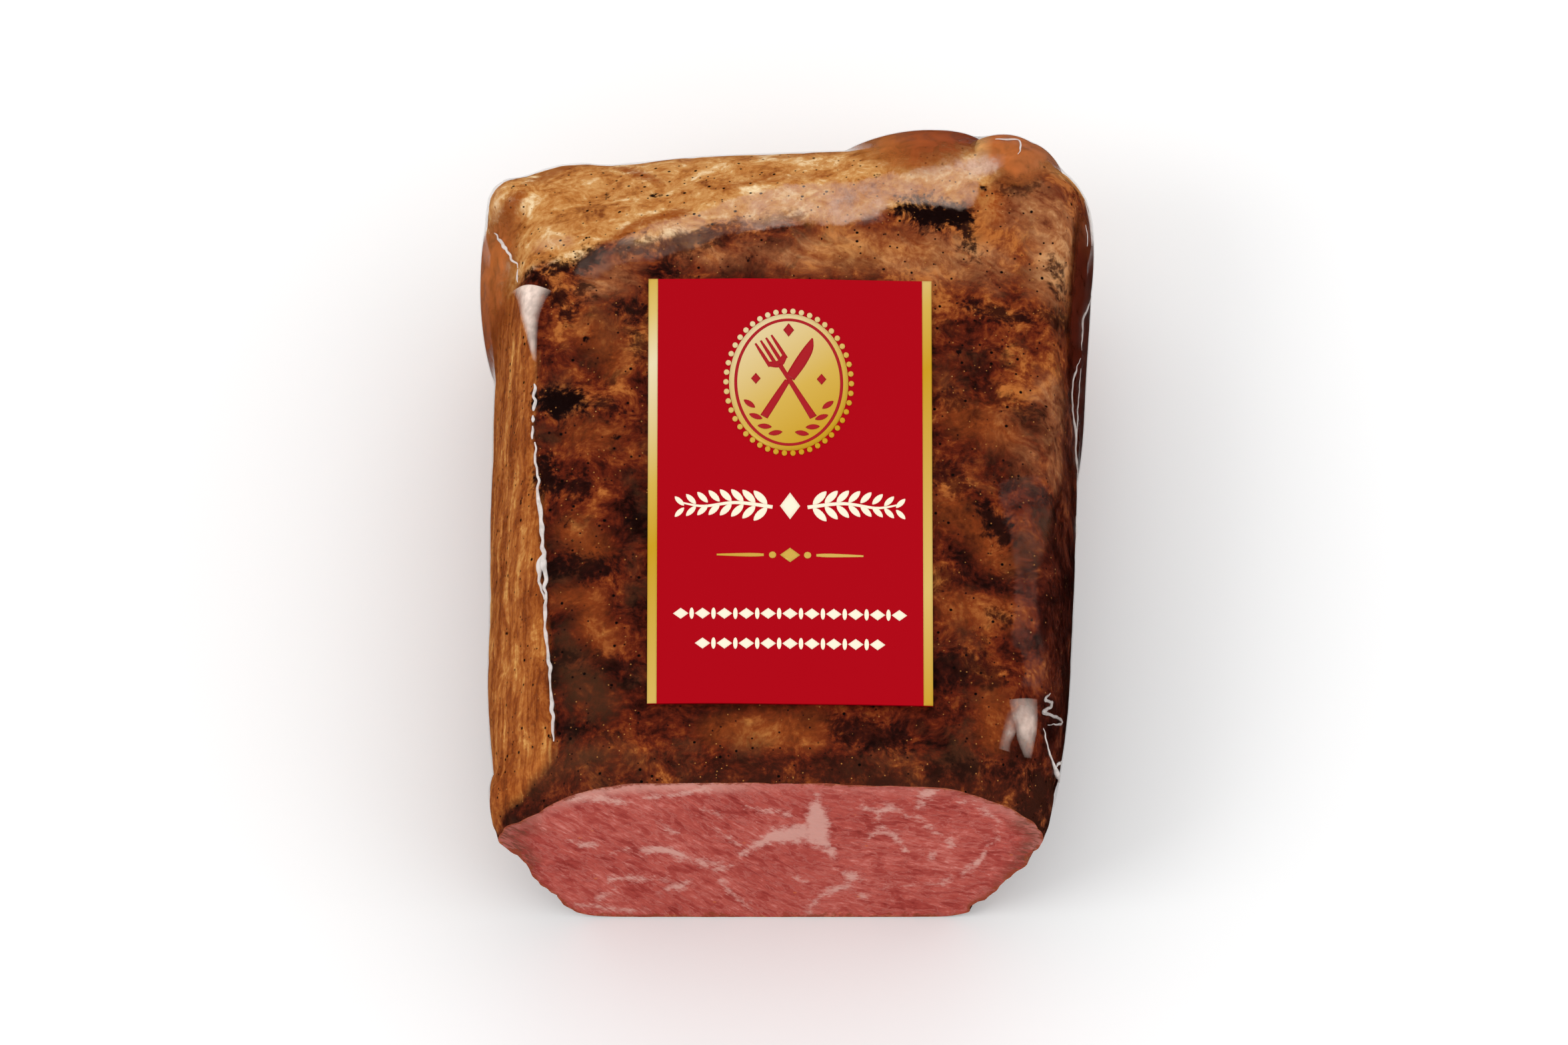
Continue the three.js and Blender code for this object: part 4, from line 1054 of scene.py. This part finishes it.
# A sheet between two smooth edges, bulging a little in its middle, with a second skin just under it.
def webMesh(left, right, acrossWhites, alongWhites):
    look = webLook
    along, across = look["steps"]
    leftLine, rightLine = smoothRoute(left, along), smoothRoute(right, along)
    share = np.linspace(0, 1, across)
    flat = leftLine[:, None] * (1 - share[:, None]) + rightLine[:, None] * share[:, None]
    x, y = flat[..., 0], flat[..., 1]
    bulge = 0.25 * np.sin(np.pi * share) * np.sin(np.pi * np.linspace(0, 1, along))[:, None]
    top = filmTop(x, y) + look["lift"] + look["thickness"] + bulge
    outer = np.stack([x, y, top], -1).reshape(-1, 3)
    inner = np.stack([x, y, top - look["thickness"]], -1).reshape(-1, 3)
    count = along * across
    numbers = np.arange(count).reshape(along, across)
    edge = np.concatenate([numbers[0, :-1], numbers[:-1, -1], numbers[-1, :0:-1], numbers[:0:-1, 0]])
    faces = [
        gridFaces(along, across, closed=False), gridFaces(along, across, closed=False, first=count)[:, ::-1],
        np.stack([edge, edge + count, np.roll(edge, -1) + count, np.roll(edge, -1)], -1),
    ]
    white = 1.0
    for at, whites in ((share, acrossWhites), (np.linspace(0, 1, along)[:, None], alongWhites)):
        white = white * np.interp(at, np.linspace(0, 1, len(whites)), whites)
    points = np.concatenate([outer, inner])
    return points, turnedOut(points, faces), np.concatenate([white.ravel(), 0 * white.ravel()])


# Lifted shrink film: a whitish veil that is a painted highlight and glare, whose whiteness is how much of it hides what
# is beneath.
def webMaterial():
    material, tree = newMaterial("lifted_film_painted_glare")
    place = addNode(tree, "TexCoord").outputs["Object"]
    white = addNode(tree, "Attribute", attribute_name="white").outputs["Fac"]
    noise = addNode(tree, "TexNoise", {"Scale": perMetre(1.3), "Detail": 5.0}, {"Vector": place})
    uneven = addNode(tree, "MapRange", {"From Min": 0.35, "From Max": 0.65, "To Min": 0.78, "To Max": 1.16},
                     {"Value": noise.outputs["Fac"]})
    alpha = addNode(tree, "Math", links={0: white, 1: uneven.outputs[0]}, operation="MULTIPLY", use_clamp=True)
    surface = addNode(tree, "BsdfPrincipled", {"Base Color": hexColour(webLook["colour"]), "Roughness": 0.35, "Specular IOR Level": 0.2},
                      {"Alpha": alpha.outputs[0]})
    addNode(tree, "OutputMaterial", links={"Surface": surface.outputs[0]})
    return material


def filmWebs():
    made = [webMesh(*web) for web in webs.values()]
    points, faces = joined([(points, faces) for points, faces, _ in made])
    piece = onePiece("film_webs", points, faces, [webMaterial()], attributes={"white": np.concatenate([white for _, _, white in made])})
    print("webs:", len(webs))


filmWebs()

# Jus: the meat's own juice, set to a clear brown jelly under the film. Each pocket has the axis and the
# stretch in mm that its colours run along, how much of the crust it hides at most, and the share of its depth
# from which it does. Towards the far end the side pockets thin out and show the paler meat.
jusLook = {
    "far": ("X", (9, 32), [(0.05, "#bb722f"), (0.45, "#9e4c1e"), (0.9, "#87381a")], 0.92, 0.55),
    # The corner pocket's cream at its low end is a painted highlight.
    "corner": ("X", (27, 42), [(0.08, "#e3b16e"), (0.3, "#b8632a"), (0.9, "#a05c34")], 0.88, 0.4),
    "left": ("Y", (80, 104), [(0.1, "#98491a"), (0.5, "#b9652a"), (0.8, "#a85c28"), (0.95, "#b98550")], 0.88, 0.65),
    # The right pocket's dark browns are partly thick jus and partly painted shade on the side away from the light.
    "right": ("Y", (60, 104), [(0.1, "#4a1408"), (0.7, "#561b0a"), (0.85, "#7a3a1a"), (0.95, "#8d4c26")], 0.9, 0.4),
}


# Set beef jus: brown jelly that hides more of the crust the thicker it lies, with pepper in it and a wet gloss.
def jusMaterial(name):
    axis, (low, high), stops, most, _ = jusLook[name]
    material, tree = newMaterial("set_beef_jus_" + name)
    place = addNode(tree, "TexCoord").outputs["Object"]
    depthShare = addNode(tree, "Attribute", attribute_name="depth").outputs["Fac"]
    cloud = addNode(tree, "TexNoise", {"Scale": perMetre(3.0), "Detail": 5.0, "Roughness": 0.62, "Distortion": 0.6}, {"Vector": place})
    uneven = addNode(tree, "MapRange", {"From Min": 0.36, "From Max": 0.64, "To Min": 0.8, "To Max": 1.3},
                     {"Value": cloud.outputs["Fac"]})
    hides = addNode(tree, "Math", links={0: depthShare, 1: uneven.outputs[0]}, operation="MULTIPLY", use_clamp=True)
    thick = addNode(tree, "Math", {1: most}, {0: hides.outputs[0]}, operation="MULTIPLY")
    parts = addNode(tree, "SeparateXYZ", links={0: place})
    first = shift["XYZ".index(axis)]
    run = addNode(tree, "MapRange", {"From Min": first + low * mm, "From Max": first + high * mm}, {"Value": parts.outputs[axis]})
    graded = addNode(tree, "ValToRGB", links={"Fac": run.outputs[0]}, stops=stops)
    shade = addNode(tree, "MapRange", {"From Min": 0.3, "From Max": 0.7, "To Min": 0.75, "To Max": 1.25}, {"Value": cloud.outputs["Fac"]})
    colour = addNode(tree, "HueSaturation", links={"Color": graded.outputs["Color"], "Value": shade.outputs[0]})
    pepper = addNode(tree, "TexVoronoi", {"Scale": perMetre(2.4)}, {"Vector": place})
    dot = addNode(tree, "MapRange", {"From Min": 0.05, "From Max": 0.11, "To Min": 0.8, "To Max": 0.0},
                  {"Value": pepper.outputs["Distance"]})
    chosen = addNode(tree, "SeparateColor", links={0: pepper.outputs["Color"]})
    some = addNode(tree, "Math", {1: 0.3}, {0: chosen.outputs[0]}, operation="LESS_THAN")
    peppered = addNode(tree, "Math", links={0: dot.outputs[0], 1: some.outputs[0]}, operation="MULTIPLY")
    colour = layered(tree, colour.outputs[0], [("#1a0703", peppered.outputs[0])])
    clear = addNode(tree, "BsdfTransparent")
    jelly = addNode(tree, "BsdfPrincipled", {"Roughness": 0.4, "IOR": 1.36, "Specular IOR Level": 0.2}, {"Base Color": colour})
    mixed = addNode(tree, "MixShader", links={0: thick.outputs[0], 1: clear.outputs[0], 2: jelly.outputs[0]})
    addNode(tree, "OutputMaterial", links={"Surface": mixed.outputs[0]})
    return material


# Rays fan out from the pocket's middle to where its depth ends, and meet a sheet on the meat and one under the
# film. Where the rim lies is found by halving along each spoke.
def jusLens(name):
    centre, half, depth, _ = pockets[name]
    middle = np.array([0, min(centre[1], block["length"] - 22), block["axisHeight"]])
    outward = np.array(centre) - middle
    outward = outward / np.linalg.norm(outward)
    across = np.cross(outward, [0, 0, 1.0])
    across /= np.linalg.norm(across)
    upward = np.cross(across, outward)
    spokes, rings = 72, 26
    angle = np.linspace(0, 2 * np.pi, spokes, endpoint=False)
    lean = np.cos(angle)[:, None] * across + np.sin(angle)[:, None] * upward
    surface = lambda reach: reachAlong(middle + 0 * lean, outward + reach[:, None] * lean, lambda points: 0)
    low, high = np.zeros(spokes), np.full(spokes, 3.0)
    for _ in range(18):
        trial = (low + high) / 2
        out = pocketDepth(surface(trial), name) < 0.02 * depth
        low, high = np.where(out, low, trial), np.where(out, trial, high)
    share = np.linspace(1, 0, rings)[:, None]
    directions = outward + (share * low)[..., None] * lean
    directions /= np.linalg.norm(directions, axis=-1, keepdims=True)
    origins = middle + 0 * directions
    outer = reachAlong(origins, directions, lambda points: filmRise(points) - 0.15 + pocketDepth(points, name))
    inner = reachAlong(origins, directions, lambda points: filmRise(points) - 0.3)
    points, faces = shellMesh(outer, inner)
    keep = np.clip(pocketDepth(points, name) / (jusLook[name][-1] * depth), 0, 1)
    keep *= np.clip((crustLook["filled"][name][1] + 5 - points[:, 1]) / 3, 0, 1)
    # The right pocket shows only up to the crease that bounds it.
    if name == "right":
        keep *= np.clip(points[:, 0] - np.interp(points[:, 1], *zip(*rightCrease)) + 0.5, 0, 1)
    return points, faces, keep


# The jelly casts no shadow, so that the meat seen through its thin rims keeps its light.
def jus():
    for name in jusLook:
        points, faces, depth = jusLens(name)
        points[:, 1] = np.maximum(points[:, 1], block["filmEdge"] + 0.2)
        piece = onePiece("jus_" + name, points, faces, [jusMaterial(name)], attributes={"depth": depth})
        piece.visible_shadow = False
        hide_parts("jus_pocket_" + name)
    print("jus:", len(jusLook), "pockets")


jus()

# Label: coated paper printed red, with hot-stamped gold foil and cream ink. The design is a plain one:
# an oval medallion with a knife and fork, sprays of leaves and rows of beads.
labelLook = {
    "thickness": 0.3, "lift": 0.04, "print": 0.05, "stripe": 1.4,
    "red": "#a60011", "cream": "#fbe9cf",
    # the foil's painted sheen, pale and deep bands over a slanting line, from its low end to its high one
    "foilSheenRun": (-5.0, 100.0, -0.73),
    "gold": [(0.0, "#d2a000"), (0.2, "#e3c26a"), (0.55, "#d2a000"), (0.65, "#ddb54b"), (0.84, "#f0dfb4"), (0.92, "#e4c36f"),
             (1.0, "#d7aa2d")],
    "medallion": (-0.2, 17.8, 9.8, 12.3), "title": (-2.7, 16.8, 2.7), "rule": (-10.8, 10.9),
    "rows": [(-20.5, 17.0), (-25.4, 13.8)],
}


# Lays a flat design on the label: its x and y are from the label's middle, and z is above its paper.
def draped(points):
    x = points[:, 0] + block["labelCentre"][0]
    y = points[:, 1] + block["labelCentre"][1]
    paper = filmTop(x, y) + labelLook["lift"] + labelLook["thickness"]
    return np.stack([x, y, paper + points[:, 2]], -1)


# A flat-backed, slightly domed strip along (x, y, half width) rows.
def ribbon(route, rise, steps=24, loop=False):
    rows = np.array(route, float)
    line = rows if loop else smoothRoute(rows, steps)
    along = np.roll(line[:, :2], -1, 0) - np.roll(line[:, :2], 1, 0) if loop else np.gradient(line[:, :2], axis=0)
    along /= np.linalg.norm(along, axis=1, keepdims=True) + 1e-12
    side = np.stack([along[:, 1], -along[:, 0]], -1)
    section = np.array([(-1, -0.4), (-1, 0.7), (-0.5, 0.95), (0, 1), (0.5, 0.95), (1, 0.7), (1, -0.4)])
    flat = line[:, None, :2] + side[:, None] * section[None, :, :1] * line[:, None, 2:3]
    height = np.broadcast_to(section[None, :, 1:] * rise, flat.shape[:2] + (1,))
    return tubeMesh(np.concatenate([flat, height], -1), loop)


# An oval that rises to its middle. With pointed above 1 its sides draw in to a leaf or a lozenge.
def disc(x, y, radiusX, radiusY, rise, turned=0.0, pointed=1.0, sides=16, rings=3, dome=0.5):
    angle = np.linspace(0, 2 * np.pi, sides, endpoint=False)
    share = np.linspace(1, 0, rings + 1)[:, None]
    u = np.cos(angle) * radiusX
    v = np.sign(np.sin(angle)) * np.abs(np.sin(angle)) ** pointed * radiusY
    turnedBy = math.radians(turned)
    px = x + share * (u * math.cos(turnedBy) - v * math.sin(turnedBy))
    py = y + share * (u * math.sin(turnedBy) + v * math.cos(turnedBy))
    top = rise * (1 + dome * (1 - share ** 2)) + 0 * px
    return shellMesh(np.stack([px, py, top], -1), np.stack([px, py, -0.4 * rise + 0 * px], -1))


def lozenge(x, y, halfX, halfY, rise):
    corners = np.array([(halfX, 0), (0, halfY), (-halfX, 0), (0, -halfY)])
    share = np.linspace(1, 0, 3)[:, None, None]
    flat = np.array([x, y]) + share * corners
    top = np.concatenate([flat, rise * (1.3 - 0.3 * share) + 0 * flat[..., :1]], -1)
    return shellMesh(top, np.concatenate([flat, -0.4 * rise + 0 * flat[..., :1]], -1))


# Coated label paper, printed solid red: smooth, with a soft sheen and a very fine tooth.
def paperMaterial():
    material, tree = newMaterial("coated_label_paper")
    place = addNode(tree, "TexCoord").outputs["Object"]
    tooth = addNode(tree, "TexNoise", {"Scale": perMetre(0.5), "Detail": 3.0}, {"Vector": place})
    bump = addNode(tree, "Bump", {"Strength": 0.08, "Distance": 0.05 * mm}, {"Height": tooth.outputs["Fac"]})
    surface = addNode(tree, "BsdfPrincipled", {"Base Color": hexColour(labelLook["red"]), "Roughness": 0.5, "IOR": 1.45,
                                               "Specular IOR Level": 0.05}, {"Normal": bump.outputs[0]})
    addNode(tree, "OutputMaterial", links={"Surface": surface.outputs[0]})
    return material


# Thick screen-printed ink, smooth with a soft sheen.
def inkMaterial(name, code):
    material, tree = newMaterial(name)
    surface = addNode(tree, "BsdfPrincipled", {"Base Color": hexColour(code), "Roughness": 0.45, "Specular IOR Level": 0.3})
    addNode(tree, "OutputMaterial", links={"Surface": surface.outputs[0]})
    return material


# Hot-stamped gold foil: bright metal with a painted sheen that drifts from pale to deep along the label.
def foilMaterial():
    material, tree = newMaterial("gold_foil")
    place = addNode(tree, "TexCoord").outputs["Object"]
    low, high, slant = labelLook["foilSheenRun"]
    parts = addNode(tree, "SeparateXYZ", links={0: place})
    slanting = weighted(tree, [(parts.outputs["X"], slant), (parts.outputs["Y"], 1.0)])
    first = slant * shift[0] + shift[1]
    along = addNode(tree, "MapRange", {"From Min": first + low * mm, "From Max": first + high * mm}, {"Value": slanting})
    colour = addNode(tree, "ValToRGB", links={"Fac": along.outputs[0]}, stops=labelLook["gold"])
    grain = addNode(tree, "TexNoise", {"Scale": perMetre(0.8), "Detail": 2.0}, {"Vector": place})
    bump = addNode(tree, "Bump", {"Strength": 0.1, "Distance": 0.05 * mm}, {"Height": grain.outputs["Fac"]})
    surface = addNode(tree, "BsdfPrincipled", {"Metallic": 0.15, "Roughness": 0.4},
                      {"Base Color": colour.outputs["Color"], "Normal": bump.outputs[0]})
    addNode(tree, "OutputMaterial", links={"Surface": surface.outputs[0]})
    return material


# A plate over a grid of the plan, its bottom on the film and its top one thickness above.
def labelPaper():
    width, length = block["labelSize"]
    across, along = 48, 80
    x, y = np.meshgrid(np.linspace(-width / 2, width / 2, across), np.linspace(-length / 2, length / 2, along))
    x, y = x.ravel() + block["labelCentre"][0], y.ravel() + block["labelCentre"][1]
    under = filmTop(x, y) + labelLook["lift"]
    count = len(x)
    points = np.concatenate([np.stack([x, y, under + labelLook["thickness"]], -1), np.stack([x, y, under], -1)])
    numbers = np.arange(count).reshape(along, across)
    edge = np.concatenate([numbers[0, :-1], numbers[:-1, -1], numbers[-1, :0:-1], numbers[:0:-1, 0]])
    faces = [
        gridFaces(along, across, closed=False), gridFaces(along, across, closed=False, first=count)[:, ::-1],
        np.stack([edge, edge + count, np.roll(edge, -1) + count, np.roll(edge, -1)], -1),
    ]
    return points, turnedOut(points, faces)


# A knife and a fork that cross: each is drawn upright as strips and turned about the middle.
def knifeAndFork(x, y, size, rise):
    parts = []
    fork = [[(0, -8.0, 0.62), (0, -5.0, 0.5), (0, 0.5, 0.36), (0, 3.0, 0.4)], [(-1.5, 3.9, 0.42), (0, 3.1, 0.6), (1.5, 3.9, 0.42)]]
    fork += [[(tine, 3.4, 0.3), (tine, 6.0, 0.27), (tine, 8.2, 0.16)] for tine in (-1.5, -0.5, 0.5, 1.5)]
    knife = [[(0, -8.0, 0.66), (0, -4.0, 0.6), (0, -0.4, 0.46)], [(0.1, 0.2, 0.8), (0.15, 3.5, 0.95), (0.05, 6.4, 0.75), (-0.35, 8.3, 0.12)]]
    for strips, slant in ((fork, 30), (knife, -30)):
        c, s = math.cos(math.radians(slant)), math.sin(math.radians(slant))
        for strip in strips:
            placed = [(x + size * (u * c - v * s), y + size * (u * s + v * c), size * width) for u, v, width in strip]
            parts.append(ribbon(placed, rise, steps=14))
    return parts


def label():
    look, rise = labelLook, labelLook["print"]
    width, length = block["labelSize"]
    paper = onePiece("label_paper", *labelPaper(), [paperMaterial()], crease=40)
    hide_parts("label")
    x, y, halfX, halfY = look["medallion"]
    around = np.linspace(0, 2 * np.pi, 96, endpoint=False)
    gold = []
    stripeAt = width / 2 - look["stripe"] / 2
    for side in (-stripeAt, stripeAt):
        gold.append(ribbon([(side, v, look["stripe"] / 2) for v in np.linspace(-length / 2, length / 2, 12)], rise, steps=90))
    gold.append(disc(x, y, halfX - 0.9, halfY - 0.9, rise, sides=96, rings=14, dome=0))
    beads = 46
    for k in range(beads):
        angle = 2 * math.pi * k / beads
        gold.append(disc(x + (halfX - 0.45) * math.cos(angle), y + (halfY - 0.45) * math.sin(angle), 0.42, 0.46, 0.12, sides=10, rings=3, dome=1))
    ruleAt, ruleHalf = look["rule"]
    gold.append(lozenge(0, ruleAt, 1.5, 1.2, rise))
    for side in (-1, 1):
        gold.append(ribbon([(side * 3.9, ruleAt, 0.2), (side * 6, ruleAt, 0.3), (side * ruleHalf, ruleAt, 0.14)], rise))
        gold.append(disc(side * 2.6, ruleAt, 0.55, 0.55, rise, sides=12))
    points, faces = joined(gold)
    foil = onePiece("label_foil", draped(points), faces, [foilMaterial()])
    # Red print on the medallion: a ring, the knife and fork, and a spray of leaves to each side of them.
    high = 2.2 * rise
    red = [ribbon([(x + (halfX - 1.9) * math.cos(a), y + (halfY - 1.9) * math.sin(a), 0.22) for a in around], high, loop=True)]
    red += knifeAndFork(x, y + 0.6, 0.92, high)
    for side in (-1, 1):
        for k, bend in enumerate((18, 34, 50, 66)):
            a = math.radians(-90 + side * bend)
            leafX, leafY = x + (halfX - 3.4) * math.cos(a), y + (halfY - 3.4) * math.sin(a)
            red.append(disc(leafX, leafY, 1.05, 0.42, high, turned=math.degrees(a) + 90 - side * 28, pointed=1.6))
        red.append(lozenge(x + side * 4.9, y + 0.6, 0.7, 0.9, high))
    red.append(lozenge(x, y + halfY - 3.6, 0.8, 1.1, high))
    points, faces = joined(red)
    ink = onePiece("label_red_print", draped(points), faces, [inkMaterial("red_screen_ink", "#a80012")])
    # Cream print: a laurel spray to each side of a lozenge, and two rows of beads and reels.
    cream = []
    titleAt, titleHalf, titleHigh = look["title"]
    cream.append(lozenge(0, titleAt, 1.5, 2.2, rise))
    for side in (-1, 1):
        stem = [(side * 2.6, titleAt - 0.2, 0.3), (side * 8, titleAt + 0.5, 0.26), (side * 13, titleAt - 0.1, 0.2), (side * titleHalf, titleAt + 0.7, 0.1)]
        cream.append(ribbon(stem, rise))
        for k in range(8):
            u = side * (3.9 + 1.72 * k)
            v = titleAt + 0.5 * math.sin(0.5 * k)
            size = 1.0 - 0.045 * k
            for up in (-1, 1):
                cream.append(disc(u + side * 0.5, v + up * 1.35 * size, 1.5 * size, 0.58 * size, rise,
                                  turned=up * side * 48, pointed=1.5))
    for rowAt, rowHalf in look["rows"]:
        count = int(rowHalf / 1.62)
        for k in range(-count, count + 1):
            if k % 2:
                cream.append(disc(k * 1.62, rowAt, 0.34, 0.95, rise, sides=12))
            else:
                cream.append(lozenge(k * 1.62, rowAt, 1.15, 0.9, rise))
    points, faces = joined(cream)
    ink = onePiece("label_cream_print", draped(points), faces, [inkMaterial("cream_screen_ink", look["cream"])])
    print("label done")


label()


# Stage, lights and camera
# A pale floor that the film's gloss doesn't mirror, so that the sides keep their own colour.
def stage():
    size = 6.0
    mesh = bpy.data.meshes.new("floor")
    mesh.from_pydata([(-size, -size, 0), (size, -size, 0), (size, size, 0), (-size, size, 0)], [], [(0, 1, 2, 3)])
    floor = bpy.data.objects.new("floor", mesh)
    bpy.context.scene.collection.objects.link(floor)
    material, tree = newMaterial("pale_board")
    surface = addNode(tree, "BsdfPrincipled", {"Base Color": (0.92, 0.92, 0.92, 1), "Roughness": 0.9, "Specular IOR Level": 0.1})
    addNode(tree, "OutputMaterial", links={"Surface": surface.outputs[0]})
    mesh.materials.append(material)
    floor.visible_glossy = False
    world = bpy.data.worlds.new("studio")
    bpy.context.scene.world = world
    world.use_nodes = True
    world.node_tree.nodes["Background"].inputs["Color"].default_value = (1, 1, 1, 1)
    world.node_tree.nodes["Background"].inputs["Strength"].default_value = lighting["world"]
    world.cycles_visibility.glossy = False


lighting = {
    "world": 0.9,
    # where each softbox hangs, in metres from the block's middle, its size and its brightness
    "boxes": {
        "key": ((-0.75, -0.35, 0.95), 0.5, 3.7),
        "fill": ((0.85, -0.25, 0.75), 1.1, 0.52),
        "back": ((0.15, 1.0, 0.55), 0.9, 1.0),
    },
}
cameraLook = {"elevation": 64.0, "lens": 400.0, "sensor": 36.0, "seenWidth": 235.3, "aim": (0.0, 54.16, 24.0)}


def softboxes():
    for name, (place, size, radiance) in lighting["boxes"].items():
        data = bpy.data.lights.new(name, "AREA")
        data.shape = "SQUARE"
        data.size = size
        data.energy = radiance * math.pi * size * size
        lamp = bpy.data.objects.new(name, data)
        lamp.location = place
        lamp.rotation_euler = (Vector((0, 0, 0.02)) - Vector(place)).to_track_quat("-Z", "Y").to_euler()
        lamp.visible_glossy = name == "key"
        bpy.context.scene.collection.objects.link(lamp)


# Looks along +y and down. Its distance makes the frame's width the seen width at the aim point.
def camera():
    data = bpy.data.cameras.new("camera")
    data.lens, data.sensor_width = cameraLook["lens"], cameraLook["sensor"]
    data.clip_start, data.clip_end = 0.1, 20
    eye = bpy.data.objects.new("camera", data)
    tip = math.radians(cameraLook["elevation"])
    back = Vector((0, -math.cos(tip), math.sin(tip)))
    aim = Vector(np.array(cameraLook["aim"]) * mm + shift)
    eye.location = aim + back * cameraLook["seenWidth"] * mm * cameraLook["lens"] / cameraLook["sensor"]
    eye.rotation_euler = (-back).to_track_quat("-Z", "Y").to_euler()
    bpy.context.scene.collection.objects.link(eye)
    bpy.context.scene.camera = eye


stage()
softboxes()
camera()
bpy.context.scene.view_settings.view_transform = "Standard"
bpy.context.scene.cycles.transparent_max_bounces = 16
print("stage, lights and camera set")
